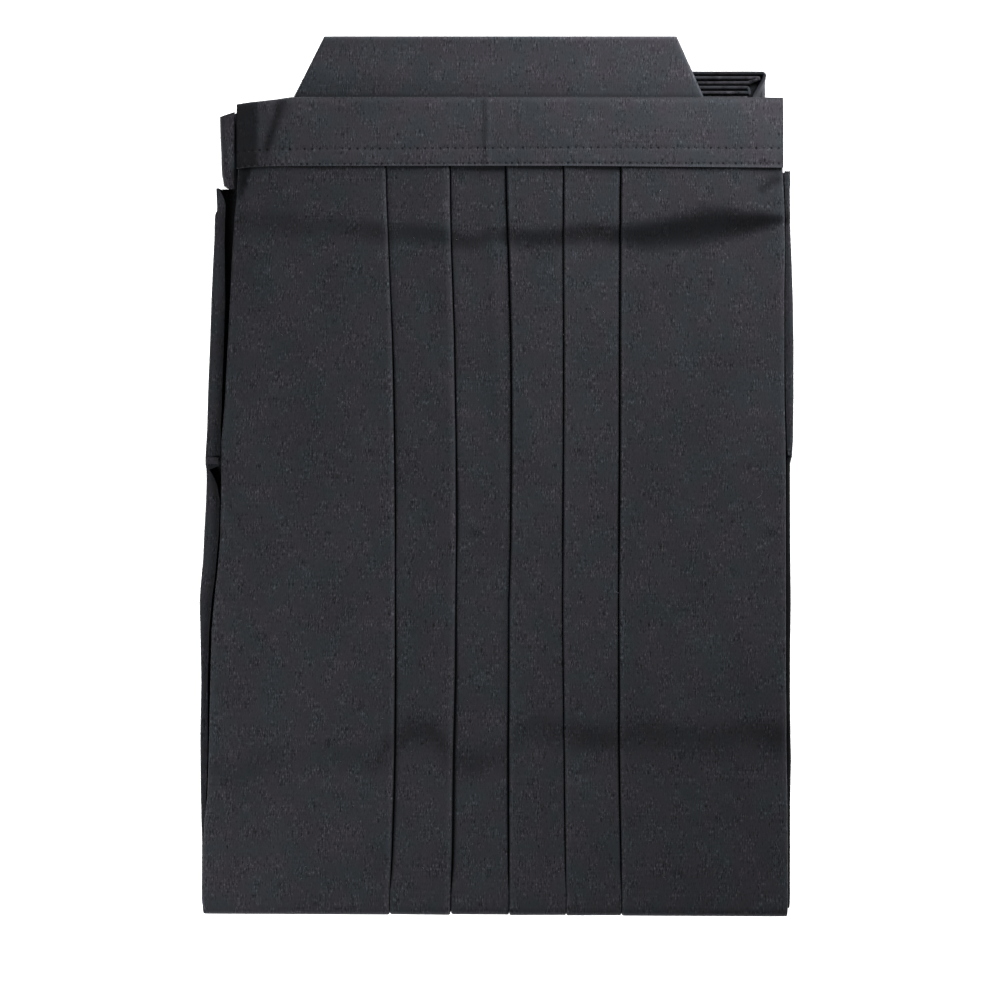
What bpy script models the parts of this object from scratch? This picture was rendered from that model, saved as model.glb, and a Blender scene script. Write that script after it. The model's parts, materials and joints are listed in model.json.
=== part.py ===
# Hakama trousers, pressed and folded in half, lying on their back with the front up.
#
# Metres, +Z up. +X is to the right and +Y towards the waist, as seen from above.
# The origin is at the middle of the box, on the surface that the folded cloth lies on.
# Right and left in the names are the wearer's, so the right leg is on the -X side.
#
# The cloth is laid out with a run, the way along the cloth from the band's lower edge:
# down the upper half, round the fold, and back along the underside to the hem.
# At each run a section across the cloth gives places (x, depth), the depth being
# measured inwards from the outer face.

import math

import bmesh
import bpy
import numpy as np

MM = 0.001

# Overall sizes, in millimetres
BAND_FOOT_Y = 165.0       # lower edge of the front band, where the run starts
FOLD_Y = -235.1           # outer face of the fold at the far end
FOLD_SKEW = 1.5           # how much nearer the fold lies at the right leg's side
FOLD_HEIGHT = 24.0        # whole height of the folded stack at the fold
FOLD_SQUARENESS = 6.0     # 2 is a round fold, more is a pressed one
WAIST_HEIGHT = 26.0       # height of the pleats just below the band
HEM_Y = 152.0             # hem of the lower half, on the underside
HALF_WIDTH = 159.0        # the widest place, each way from the middle

# Cloth, in millimetres
CLOTH = 1.0               # wall of a pleated panel
GAP = 0.3                 # air between two layers that touch
PITCH = CLOTH + GAP
HEM_TURN = 12.0           # width of the double hem at each side slit
PLEAT_DEPTH = 22.0        # how far a pleat reaches under its neighbour
DIP_WIDTH = 2.6           # beside a pleat, where a strip comes up from under its neighbour
EDGE_CLOTH = 1.2          # wall of the back panels' folded side edges
TIE_CLOTH = 1.6           # two plies of cloth, as the ties are made
BOARD_THICKNESS = 4.4
LAYER_DEPTH = 5.0         # outer face of the hidden layers, under the pleats
SEAT_DEPTH = 11.6         # inner face of every layer, beside the fold's middle

HALF_HEIGHT = FOLD_HEIGHT / 2
FOLD_START_Y = FOLD_Y + HALF_HEIGHT + FOLD_SKEW
FOLD_START = BAND_FOOT_Y - FOLD_START_Y
FOLD_LENGTH = math.pi * HALF_HEIGHT
UNDER_START = FOLD_START + FOLD_LENGTH
HEM = UNDER_START + HEM_Y - FOLD_START_Y

# One row for each section along the run: the front's two edges and its five pleats
# "step" is how far a strip stays below its neighbour, past the dip beside each pleat
FRONT_COLUMNS = ("run", "right_edge", "pleat_1", "pleat_2", "pleat_3", "pleat_4", "pleat_5",
                 "left_edge", "step")
FRONT_ROWS = (
    (-11.0, -136.8, -59.7, -25.6, 5.8, 36.8, 67.4, 151.2, 0.8),
    (17.0, -137.6, -59.3, -25.3, 6.3, 36.4, 67.0, 152.7, 0.9),
    (42.0, -140.0, -58.1, -24.9, 7.4, 36.4, 66.9, 153.3, 0.9),
    (90.0, -142.3, -56.3, -23.4, 8.7, 36.7, 66.6, 153.4, 1.0),
    (128.0, -144.3, -55.4, -22.7, 9.0, 36.8, 66.8, 153.4, 1.0),
    (146.0, -146.0, -55.2, -22.7, 9.0, 36.7, 66.7, 153.5, 1.0),
    (180.0, -146.2, -54.6, -21.9, 9.0, 36.6, 66.5, 153.6, 1.0),
    (199.0, -146.7, -54.6, -22.2, 8.5, 36.4, 66.4, 153.7, 1.0),
    (231.0, -149.8, -54.7, -22.6, 7.6, 36.0, 66.1, 153.7, 1.0),
    (247.0, -151.2, -54.7, -22.7, 7.6, 36.2, 66.2, 153.7, 1.0),
    (270.0, -151.8, -54.6, -22.8, 7.6, 36.4, 66.3, 153.7, 1.0),
    (311.0, -152.7, -55.2, -23.8, 7.5, 37.1, 66.6, 154.1, 0.9),
    (335.0, -153.5, -55.3, -23.9, 7.6, 37.3, 66.9, 154.4, 0.8),
    (348.0, -155.0, -55.8, -24.1, 7.6, 37.4, 67.1, 154.6, 0.7),
    (365.0, -155.9, -56.5, -24.4, 7.6, 37.6, 67.4, 154.7, 0.6),
    (FOLD_START, -156.1, -57.6, -25.2, 7.6, 37.8, 67.6, 154.8, 0.2),
    (UNDER_START, -156.1, -57.6, -25.2, 7.6, 37.8, 67.6, 154.8, 0.2),
    (640.0, -153.0, -57.8, -25.4, 7.7, 38.0, 67.8, 154.4, 0.2),
    (HEM, -146.8, -58.2, -25.8, 7.8, 38.4, 68.2, 154.0, 0.3),
)

# The back panels' side edges: outer face, inner end of the upturned lip, and its depth
EDGE_COLUMNS = ("run", "outer", "lip", "depth")
RIGHT_EDGE_ROWS = (
    (11.5, -149.6, -147.6, 3.0),
    (22.0, -149.4, -145.9, 2.6),
    (27.0, -150.3, -145.4, 2.5),
    (42.0, -150.6, -145.3, 2.5),
    (72.0, -152.1, -144.9, 2.5),
    (92.0, -152.8, -145.6, 2.5),
    (114.0, -153.7, -146.4, 2.5),
    (140.0, -154.4, -147.3, 2.5),
    (156.0, -155.3, -147.6, 2.6),
    (163.0, -155.0, -152.8, 3.3),
    (172.0, -154.9, -148.2, 2.8),
    (194.0, -155.9, -148.3, 2.5),
    (210.0, -156.5, -149.7, 2.5),
    (231.0, -158.5, -152.1, 2.7),
    (247.0, -158.1, -153.6, 2.9),
    (275.0, -157.6, -154.3, 3.2),
    (327.0, -158.0, -154.9, 3.6),
    (348.0, -157.9, -156.0, 4.1),
    (FOLD_START, -157.4, -154.2, 4.2),
    (UNDER_START, -157.4, -154.2, 4.2),
    (640.0, -154.6, -151.0, 4.2),
    (HEM - 4.0, -148.8, -144.6, 4.2),
)
LEFT_EDGE_ROWS = (
    (2.6, 156.4, 153.4, 2.3),
    (13.0, 156.1, 153.7, 2.0),
    (30.0, 156.3, 154.2, 1.9),
    (60.0, 156.9, 154.4, 1.9),
    (90.0, 157.7, 154.4, 1.9),
    (122.0, 158.0, 154.5, 1.9),
    (154.0, 157.4, 154.7, 2.1),
    (160.0, 156.2, 154.7, 2.9),
    (200.0, 156.2, 154.7, 2.6),
    (260.0, 156.2, 154.7, 3.2),
    (316.0, 156.7, 155.0, 4.0),
    (FOLD_START, 156.3, 153.6, 4.2),
    (UNDER_START, 156.3, 153.6, 4.2),
    (640.0, 156.0, 152.6, 4.2),
    (HEM - 2.0, 155.6, 151.4, 4.2),
)
# Folded edges one below another: how far each lies in from the outer face, and below the lip
LAYER_EDGES = ((1.0, 1.9), (0.0, 3.0), (1.2, 4.1), (0.3, 5.2), (1.5, 6.2), (0.6, 7.0))
EDGE_CORNER = 0.7         # from the outer face in to the middle of the wall, where the lip ends
EDGE_ROOT = 4.0           # how far an edge reaches in past the front's own edge
ROOT_GAP = 0.8            # from there to the hidden layers

# The largest creases: where each crosses the cloth (x, y), and how deep it presses it
WAIST_CREASE_COLUMNS = ("x", "y", "drop", "sag")
WAIST_CREASE = (
    (-160.0, 134.5, 1.6, 0.0),
    (-89.0, 129.6, 1.7, 0.0),
    (-20.0, 126.5, 1.6, 0.1),
    (35.0, 126.8, 2.1, 0.4),
    (90.0, 130.0, 3.2, 0.9),
    (110.0, 132.0, 3.2, 0.9),
    (160.0, 138.0, 2.6, 0.6),
)
LOW_CREASE_COLUMNS = ("x", "y", "dip")
LOW_CREASE = (
    (-160.0, -145.0, 0.6),
    (-100.0, -154.5, 0.8),
    (-10.0, -158.0, 0.6),
    (38.0, -145.0, 0.7),
    (66.0, -141.0, 1.1),
    (160.0, -146.0, 1.0),
)
WAIST_CREASE_WIDTH = 20.0
SAG_LENGTH = 55.0
LOW_CREASE_WIDTH = 9.0

# Front band, one row for each section across it
BAND_COLUMNS = ("x", "foot", "top", "drop")
BAND_ROWS = (
    (-138.3, 163.6, 198.2, 1.8),
    (-131.0, 164.4, 199.3, 1.3),
    (-120.0, 164.9, 200.4, 0.6),
    (-108.9, 165.0, 201.8, 0.1),
    (-60.0, 165.0, 201.9, 0.0),
    (40.0, 165.0, 201.9, 0.0),
    (152.5, 164.0, 201.6, 0.0),
)
BAND_WALL = 1.1
BAND_BACK = 19.0          # height of the band's back face, which lies on the board

# Back board, a stiff trapezoid covered with the same cloth
BOARD_OUTLINE = ((-92.0, 235.1), (96.3, 235.1), (133.0, 153.6), (-133.4, 153.6))
BOARD_TOP = 18.6
BOARD_EDGE_ROUND = 1.3

# Back ties, folded to and fro and standing on their edges behind the board
TIES_FOOT = 1.5
TIES_TOP = BOARD_TOP - BOARD_THICKNESS - GAP
TIES_WALL = 2.2
TIES_LEAN = 7.0           # how far the outermost loop's end leans over the others' ends
# Each layer from the board outwards: its y, left end and right end
TIE_LAYERS = (
    (199.7, -52.0, 143.6),
    (202.6, -63.0, 133.2),
    (205.3, -63.0, 135.4),
    (208.0, -58.0, 132.6),
    (210.6, -58.0, 133.4),
    (213.2, -66.0, 139.6),
    (215.8, -66.0, 143.6),
)

# End of the front tie at the right leg's side, folded back beside the band
# Its section in x and z, and then where along y it is shifted in x and tucked down
TIE_END_SECTION = ((-140.0, 21.0), (-145.2, 20.8), (-147.0, 19.2), (-147.1, 15.8),
                   (-145.4, 13.2), (-139.0, 12.9), (-124.0, 12.9))
TIE_END_ROWS = ((155.0, 2.2, 1.8), (159.4, 1.2, 0.8), (172.0, 0.8, 0.2), (188.0, 0.1, 0.0),
                (194.0, 0.0, 0.4))
TIE_END_SLANT = 0.30      # the end is cut on a slant: y gained for each mm in x

# Stops sewn across the foot of each side slit: x, y and width
STOP_LENGTH = 3.6
STOP_THICKNESS = 0.7
RIGHT_STOP = (-151.2, 8.2, 6.4)
LEFT_STOP = (156.2, 12.8, 2.2)


def column(rows, columns, name, at):
    """Return a table's named column, worked out smoothly at the place `at` of its first one."""
    table = np.array(rows)
    return np.interp(at, table[:, 0], table[:, columns.index(name)])


def ease(value):
    """Return 0 below 0, 1 above 1, and a smooth step between them."""
    held = np.clip(value, 0.0, 1.0)
    return held * held * (3.0 - 2.0 * held)


def height(x, y):
    """Return the height of the front's upper face: the waist's level, its crease and the low one."""
    crease_y = column(WAIST_CREASE, WAIST_CREASE_COLUMNS, "y", x)
    drop = column(WAIST_CREASE, WAIST_CREASE_COLUMNS, "drop", x)
    sag = column(WAIST_CREASE, WAIST_CREASE_COLUMNS, "sag", x)
    past = (crease_y - y) / WAIST_CREASE_WIDTH + 0.5
    settled = WAIST_HEIGHT - drop
    flat = FOLD_HEIGHT - sag * np.exp(-((y - crease_y) / SAG_LENGTH) ** 2)
    after = settled + (flat - settled) * ease((crease_y - y) / SAG_LENGTH)
    level = WAIST_HEIGHT + (after - WAIST_HEIGHT) * ease(past)
    low_y = column(LOW_CREASE, LOW_CREASE_COLUMNS, "y", x)
    dip = column(LOW_CREASE, LOW_CREASE_COLUMNS, "dip", x)
    end_drop = column(BAND_ROWS, BAND_COLUMNS, "drop", x) * ease((y - 128.0) / 30.0)
    return level - end_drop - dip * np.exp(-((y - low_y) / LOW_CREASE_WIDTH) ** 2)


def lay(x, depth, run):
    """Lay section places (x, depth) at a run: on the upper half, round the fold or underneath."""
    skew = FOLD_SKEW * (0.5 - x / (2 * HALF_WIDTH))
    if run <= FOLD_START:
        y = BAND_FOOT_Y - run + 0.0 * x
        near_fold = ease((run - FOLD_START + 60.0) / 60.0)
        y = y + near_fold * (skew - FOLD_SKEW)
        top = height(x, y)
        deep = np.clip(depth - LAYER_DEPTH, 0.0, None)
        squeeze = (top - LAYER_DEPTH - HALF_HEIGHT) / (HALF_HEIGHT - LAYER_DEPTH)
        z = top - np.minimum(depth, LAYER_DEPTH) - deep * squeeze
    elif run < UNDER_START:
        angle = math.pi * (run - FOLD_START) / FOLD_LENGTH
        power = 2.0 / FOLD_SQUARENESS
        radius = HALF_HEIGHT - depth
        out = radius * math.sin(angle) ** power
        up = radius * math.copysign(abs(math.cos(angle)) ** power, math.cos(angle))
        y = FOLD_START_Y + skew - FOLD_SKEW - out
        z = HALF_HEIGHT + up
    else:
        y = FOLD_START_Y + (run - UNDER_START) + (skew - FOLD_SKEW)
        z = depth + 0.0 * x
    return np.stack([x, y, z], axis=-1)


def turn(x, depth_from, depth_to, side):
    """Return the three points of a hairpin fold at x, open away from `side`."""
    radius = abs(depth_to - depth_from) / 2
    middle = (depth_from + depth_to) / 2
    return [(x - side * radius, depth_from), (x, middle), (x - side * radius, depth_to)]


def both_faces(line, wall):
    """Return the two faces of a wall about its middle line, each corner moved along its mitre."""
    line = np.array(line)
    step = np.diff(line, axis=0)
    step /= np.linalg.norm(step, axis=1)[:, None]
    before = np.vstack([step[:1], step])
    after = np.vstack([step, step[-1:]])
    mitre = before + after
    mitre /= np.linalg.norm(mitre, axis=1)[:, None]
    normal = np.stack([-mitre[:, 1], mitre[:, 0]], axis=1)
    stretch = np.clip((mitre * after).sum(axis=1), 0.7, None)
    offset = normal * (wall / 2 / stretch)[:, None]
    return np.stack([line + offset, line - offset], axis=1)


def block(name, grid, colour):
    """Make the closed skin of a block of points, grid[i, j, k] = (x, y, z) in millimetres."""
    shape = grid.shape[:3]
    number = np.arange(np.prod(shape)).reshape(shape)
    quads = []
    for axis in range(3):
        for end in (0, -1):
            sheet = np.take(number, end, axis=axis)
            quads.append(np.stack([sheet[:-1, :-1], sheet[1:, :-1], sheet[1:, 1:],
                                   sheet[:-1, 1:]], axis=-1).reshape(-1, 4))
    quads = np.concatenate(quads)
    used, compact = np.unique(quads, return_inverse=True)
    mesh = bpy.data.meshes.new(name)
    points = grid.reshape(-1, 3)[used] * MM
    mesh.from_pydata(points.tolist(), [], compact.reshape(-1, 4).tolist())
    shell = bmesh.new()
    shell.from_mesh(mesh)
    bmesh.ops.recalc_face_normals(shell, faces=shell.faces)
    shell.to_mesh(mesh)
    shell.free()
    return add_piece(name, mesh, colour)


def add_piece(name, mesh, colour):
    """Put a mesh into the garment's collection as a named piece with its own cloth material."""
    piece = bpy.data.objects.new(name, mesh)
    cloth = bpy.data.materials.new(name + "_cloth")
    cloth.use_nodes = True
    shader = cloth.node_tree.nodes["Principled BSDF"]
    shader.inputs["Base Color"].default_value = (*colour, 1.0)
    shader.inputs["Roughness"].default_value = 0.9
    shader.inputs["Metallic"].default_value = 0.0
    mesh.materials.append(cloth)
    garment.objects.link(piece)
    return piece


def front_places(run):
    """Return one row of the front's table as a dictionary of its named places."""
    return {name: float(column(FRONT_ROWS, FRONT_COLUMNS, name, run)) for name in FRONT_COLUMNS}


def right_front_line(run):
    """Return the right front's middle line: slit hem, strips A, B and C, two pleats, centre seam."""
    at = front_places(run)
    edge, one, two, three, four, step = (at[name] for name in (
        "right_edge", "pleat_1", "pleat_2", "pleat_3", "pleat_4", "step"))
    first, second, third = CLOTH / 2, CLOTH / 2 + PITCH, CLOTH / 2 + 2 * PITCH
    rise = step * PLEAT_DEPTH / (two - one - DIP_WIDTH)
    fall = step * PLEAT_DEPTH / (four - three - DIP_WIDTH)
    line = [(edge + CLOTH, third)]
    line += turn(edge + HEM_TURN, third, second, 1)
    line += turn(edge, second, first, -1)
    line += [((edge + one) / 2, first)]
    line += turn(one, first, second, 1)
    line += turn(one - PLEAT_DEPTH, second, third, -1)
    line += [(one + 0.3, third), (one + DIP_WIDTH, first + step)]
    line += turn(two, first, second, 1)
    line += turn(two - PLEAT_DEPTH, second + rise, third + rise, -1)
    line += [(two + 0.3, third), (two + DIP_WIDTH, first + 1.5 * step)]
    line += [(three - DIP_WIDTH, first + 1.5 * step), (three - 0.3, third)]
    line += [(three + PLEAT_DEPTH - 1.0, third + fall)]
    return line


def left_front_line(run):
    """Return the left front's middle line: centre seam, strips D, E and F, three pleats, slit hem."""
    at = front_places(run)
    three, four, five, edge, step = (at[name] for name in (
        "pleat_3", "pleat_4", "pleat_5", "left_edge", "step"))
    first, second, third = CLOTH / 2, CLOTH / 2 + PITCH, CLOTH / 2 + 2 * PITCH
    fall = step * PLEAT_DEPTH / (four - three - DIP_WIDTH)
    next_fall = step * PLEAT_DEPTH / (five - four - DIP_WIDTH)
    line = [(three + PLEAT_DEPTH - 1.0, second + fall)]
    line += turn(three, second, first, -1)
    line += [(four - DIP_WIDTH, first + step), (four - 0.3, third)]
    line += turn(four + PLEAT_DEPTH, third + next_fall, second + next_fall, 1)
    line += turn(four, second, first, -1)
    line += [(five - DIP_WIDTH, first + step), (five - 0.3, third)]
    line += turn(five + PLEAT_DEPTH, third, second, 1)
    line += turn(five, second, first, -1)
    line += [((five + edge) / 2, first)]
    line += turn(edge, first, second, 1)
    line += turn(edge - HEM_TURN, second, third, -1)
    line += [(edge - CLOTH, third)]
    return line


def edge_line(rows, front_edge, side, run):
    """Return a back panel's side edge: an upturned lip, its folded layers, and a root inwards."""
    outer, lip, depth = (float(column(rows, EDGE_COLUMNS, name, run))
                         for name in ("outer", "lip", "depth"))
    half = EDGE_CLOTH / 2
    deepest = SEAT_DEPTH - half
    squeeze = (deepest - depth - half) / (LAYER_EDGES[-1][1] + EDGE_CLOTH)
    line = [(lip, depth + half), (outer - side * EDGE_CORNER, depth + half)]
    line += [(outer - side * (half + inset), depth + half + below * squeeze)
             for inset, below in LAYER_EDGES]
    root = float(column(FRONT_ROWS, FRONT_COLUMNS, front_edge, run)) - side * EDGE_ROOT
    line += [(outer - side * 3.4, deepest), (root, deepest)]
    return line


def sweep(name, line_at, wall, runs, colour):
    """Carry a walled section along the run and close it into one solid."""
    faces = [both_faces(line_at(run), wall) for run in runs]
    grid = np.stack([lay(face[..., 0], face[..., 1], run) for face, run in zip(faces, runs)])
    return block(name, grid, colour)


def fold_runs(count):
    """Return the runs of the sections round the fold."""
    return [FOLD_START + FOLD_LENGTH * step / count for step in range(1, count)]


def make_fronts():
    """Make both pleated front panels, from inside the band round the fold to the hem."""
    upper = [-11.0, 4.0, 17.0, 27.0, 34.0, 42.0, 52.0, 90.0, 128.0, 146.0, 180.0, 199.0, 231.0,
             247.0, 290.0, 304.0, 314.0, 328.0, 348.0, 365.0, FOLD_START]
    runs = upper + fold_runs(8) + [UNDER_START, 640.0, HEM]
    sweep("right_front", right_front_line, CLOTH, runs, (0.032, 0.033, 0.038))
    sweep("left_front", left_front_line, CLOTH, runs, (0.034, 0.035, 0.040))


def make_back_edges():
    """Make the side edges of both back panels, which show outside the front's edges."""
    for name, rows, front_edge, side in (
            ("right_back", RIGHT_EDGE_ROWS, "right_edge", -1),
            ("left_back", LEFT_EDGE_ROWS, "left_edge", 1)):
        runs = [row[0] for row in rows if row[0] <= FOLD_START]
        runs += fold_runs(8) + [UNDER_START, 640.0, rows[-1][0]]
        sweep(name, lambda run, r=rows, f=front_edge, s=side: edge_line(r, f, s, run),
              EDGE_CLOTH, runs, (0.028, 0.029, 0.033))


def make_hidden_layers():
    """Make the layers that nothing shows of as one folded slab, grooved at its edges and ends."""
    levels = np.array([LAYER_DEPTH, 6.7, 7.0, 8.6, 8.9, 10.3, 10.6, SEAT_DEPTH])
    groove = np.array([0.6, 0.0, 1.8, 0.2, 2.0, 0.1, 1.7, 0.4])
    first, last = 11.8, HEM - 5.0
    runs = [first, 34.0, 52.0, 128.0, 180.0, 231.0, 314.0, 348.0, FOLD_START] + fold_runs(8)
    runs += [UNDER_START, 640.0, last]
    slabs = []
    for run in runs:
        right = float(column(FRONT_ROWS, FRONT_COLUMNS, "right_edge", run)) + EDGE_ROOT + ROOT_GAP
        left = float(column(FRONT_ROWS, FRONT_COLUMNS, "left_edge", run)) - EDGE_ROOT - ROOT_GAP
        across = np.linspace(0.0, 1.0, 5)[:, None]
        x = (right + groove) * (1 - across) + (left - groove) * across
        depth = np.broadcast_to(levels, x.shape)
        places = lay(x, depth, run)
        places[..., 1] -= groove * ((run == first) or (run == last))
        slabs.append(places)
    block("hidden_layers", np.stack(slabs), (0.022, 0.023, 0.027))


def make_band():
    """Make the front band: one piece of cloth folded over the top of the pleats."""
    sections = []
    for x, foot, top, drop in BAND_ROWS:
        front = WAIST_HEIGHT + GAP + BAND_WALL / 2 - drop
        back = BAND_BACK + BAND_WALL / 2
        middle = (front + back) / 2
        line = [(foot, front), (foot + 12.0, front + 0.1), (top - 6.0, front - 0.2),
                (top - 2.4, front - 1.4), (top - BAND_WALL / 2, middle),
                (top - 2.4, back + 1.2), (top - 6.0, back), (foot + 3.0, back)]
        faces = both_faces(line, BAND_WALL)
        sections.append(np.stack([np.full(faces.shape[:2], x), faces[..., 0], faces[..., 1]],
                                 axis=-1))
    block("front_band", np.stack(sections), (0.046, 0.046, 0.050))


def make_board():
    """Make the back board: its outline thickened downwards and its edges rounded."""
    shell = bmesh.new()
    corners = [shell.verts.new((x * MM, y * MM, BOARD_TOP * MM)) for x, y in BOARD_OUTLINE]
    face = shell.faces.new(corners)
    if face.normal.z < 0:
        face.normal_flip()
    face.normal_update()
    if face.normal.z < 0:
        face.normal_flip()
    mesh = bpy.data.meshes.new("back_board")
    shell.to_mesh(mesh)
    shell.free()
    board = add_piece("back_board", mesh, (0.045, 0.045, 0.050))
    thicken = board.modifiers.new("thickness", "SOLIDIFY")
    thicken.thickness = BOARD_THICKNESS * MM
    thicken.offset = -1.0
    rounding = board.modifiers.new("rounding", "BEVEL")
    rounding.width = BOARD_EDGE_ROUND * MM
    rounding.segments = 2
    rounding.limit_method = "ANGLE"


def make_back_ties():
    """Make the back ties: one strip folded to and fro, standing on its edge behind the board.

    It runs along the innermost layer, round the others' right ends, back along the outermost
    layer, and then to and fro through the layers between them.
    """
    inner_y, inner_left, loop_end = TIE_LAYERS[0]
    outer_y, outer_left, _ = TIE_LAYERS[-1]
    line = [(inner_left, inner_y), (loop_end, inner_y), (loop_end, outer_y), (outer_left, outer_y)]
    for number, (y, left, right) in enumerate(TIE_LAYERS[-2:0:-1]):
        line += [(right, y), (left, y)] if number % 2 else [(left, y), (right, y)]
    faces = both_faces(line, TIES_WALL)
    middle = faces.mean(axis=1, keepdims=True)
    leaning = np.zeros(faces.shape)
    leaning[1, :, 0] = TIES_LEAN
    stack = []
    for z, taper in ((TIES_FOOT, 0.2), (TIES_TOP - 0.6, 0.0), (TIES_TOP, 0.15)):
        over = (z - TIES_FOOT) / (TIES_TOP - TIES_FOOT)
        narrowed = faces + (middle - faces) * taper - leaning * over
        stack.append(np.concatenate([narrowed, np.full((*faces.shape[:2], 1), z)], axis=-1))
    block("back_ties", np.stack(stack), (0.030, 0.030, 0.033))


def make_tie_end():
    """Make the end of the front tie, folded down beside the band's right end."""
    faces = both_faces(TIE_END_SECTION, TIE_CLOTH)
    sections = []
    for y, shift, tuck in TIE_END_ROWS:
        x = faces[..., 0] + shift
        z = faces[..., 1] - tuck
        slant = TIE_END_SLANT * (x - TIE_END_SECTION[0][0]) if y > 180.0 else 0.0 * x
        sections.append(np.stack([x, y + np.clip(slant, -3.0, 1.0), z], axis=-1))
    block("right_tie_end", np.stack(sections), (0.036, 0.037, 0.041))


def make_stop(name, rows, place):
    """Make the stop across the foot of a side slit: a small bar that lies on the back's lip."""
    x, y, width = place
    lip_depth = float(column(rows, EDGE_COLUMNS, "depth", BAND_FOOT_Y - y))
    z = float(height(x, y)) - lip_depth + GAP + STOP_THICKNESS / 2
    shell = bmesh.new()
    bmesh.ops.create_cube(shell, size=1.0)
    size = (width * MM, STOP_LENGTH * MM, STOP_THICKNESS * MM)
    bmesh.ops.scale(shell, vec=size, verts=shell.verts)
    mesh = bpy.data.meshes.new(name)
    shell.to_mesh(mesh)
    shell.free()
    stop = add_piece(name, mesh, (0.035, 0.036, 0.040))
    stop.location = (x * MM, y * MM, z * MM)
    rounding = stop.modifiers.new("rounding", "BEVEL")
    rounding.width = 0.35 * MM
    rounding.segments = 2


for old in list(bpy.data.objects):
    bpy.data.objects.remove(old)
garment = bpy.data.collections.new("hakama_trousers")
bpy.context.scene.collection.children.link(garment)

make_fronts()
make_back_edges()
make_hidden_layers()
make_band()
make_board()
make_back_ties()
make_tie_end()
make_stop("right_slit_stop", RIGHT_EDGE_ROWS, RIGHT_STOP)
make_stop("left_slit_stop", LEFT_EDGE_ROWS, LEFT_STOP)
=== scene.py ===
"""Looks of a pair of black hakama trousers, pressed, folded in half and laid flat with the front up.

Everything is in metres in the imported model's own frame: +X to the wearer's left, +Y to the waist,
+Z up. Inside the classes the sizes are millimetres, and `MM` turns them into metres when a mesh is
made. The cloth is laid out along a run: down the upper half from the band's foot, round the fold and
back along the underside to the hem. Across the run a section gives places (x, depth), the depth
being measured inwards from the outer face.
"""

import json
import logging
import math
from dataclasses import dataclass, field
from enum import Enum

import bpy
import numpy as np
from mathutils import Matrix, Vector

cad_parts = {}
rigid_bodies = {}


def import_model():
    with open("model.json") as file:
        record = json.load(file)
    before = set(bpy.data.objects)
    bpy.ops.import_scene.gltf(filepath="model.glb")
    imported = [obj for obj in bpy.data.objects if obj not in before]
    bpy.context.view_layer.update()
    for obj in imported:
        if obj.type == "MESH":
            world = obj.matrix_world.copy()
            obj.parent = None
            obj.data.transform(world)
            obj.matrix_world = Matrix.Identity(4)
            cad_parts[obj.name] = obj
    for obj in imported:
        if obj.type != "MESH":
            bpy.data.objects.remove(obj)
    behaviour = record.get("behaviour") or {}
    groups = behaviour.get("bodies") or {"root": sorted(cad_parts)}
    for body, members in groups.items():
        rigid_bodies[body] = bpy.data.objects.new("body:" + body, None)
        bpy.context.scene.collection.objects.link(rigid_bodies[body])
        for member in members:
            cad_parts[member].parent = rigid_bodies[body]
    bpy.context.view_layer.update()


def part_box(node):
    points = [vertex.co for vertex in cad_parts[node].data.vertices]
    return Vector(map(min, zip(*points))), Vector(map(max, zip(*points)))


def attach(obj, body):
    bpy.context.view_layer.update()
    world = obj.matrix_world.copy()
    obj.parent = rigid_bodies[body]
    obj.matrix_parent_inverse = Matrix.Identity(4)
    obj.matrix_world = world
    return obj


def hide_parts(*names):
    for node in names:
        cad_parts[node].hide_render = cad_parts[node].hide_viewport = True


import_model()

MM = 0.001
LOG = logging.getLogger("hakama")
Array = np.ndarray


class Leg(Enum):
    """The wearer's side, as the sign of X."""

    RIGHT = -1
    LEFT = 1


# Colour and nodes


def linear(colour: str) -> tuple[float, float, float, float]:
    """Turn an sRGB hex colour into linear RGBA.

    Args:
        colour: six hex digits, with a leading hash.

    Returns:
        The linear colour with full alpha.
    """
    parts = [int(colour[place:place + 2], 16) / 255 for place in (1, 3, 5)]
    return (*[part / 12.92 if part <= 0.04045 else ((part + 0.055) / 1.055) ** 2.4
              for part in parts], 1.0)


def add_node(tree: bpy.types.NodeTree, kind: str, links: dict | None = None,
             **settings: object) -> bpy.types.Node:
    """Add a node, set its values and link its inputs.

    Args:
        tree: the node tree to add to.
        kind: the node's type name without its ShaderNode prefix.
        links: input name or number to the socket that feeds it, or to a constant value.
        settings: attributes of the node itself.

    Returns:
        The new node.
    """
    node = tree.nodes.new("ShaderNode" + kind)
    for name, value in settings.items():
        setattr(node, name, value)
    for name, source in (links or {}).items():
        if isinstance(source, bpy.types.NodeSocket):
            tree.links.new(source, node.inputs[name])
        else:
            node.inputs[name].default_value = source
    return node


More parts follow.
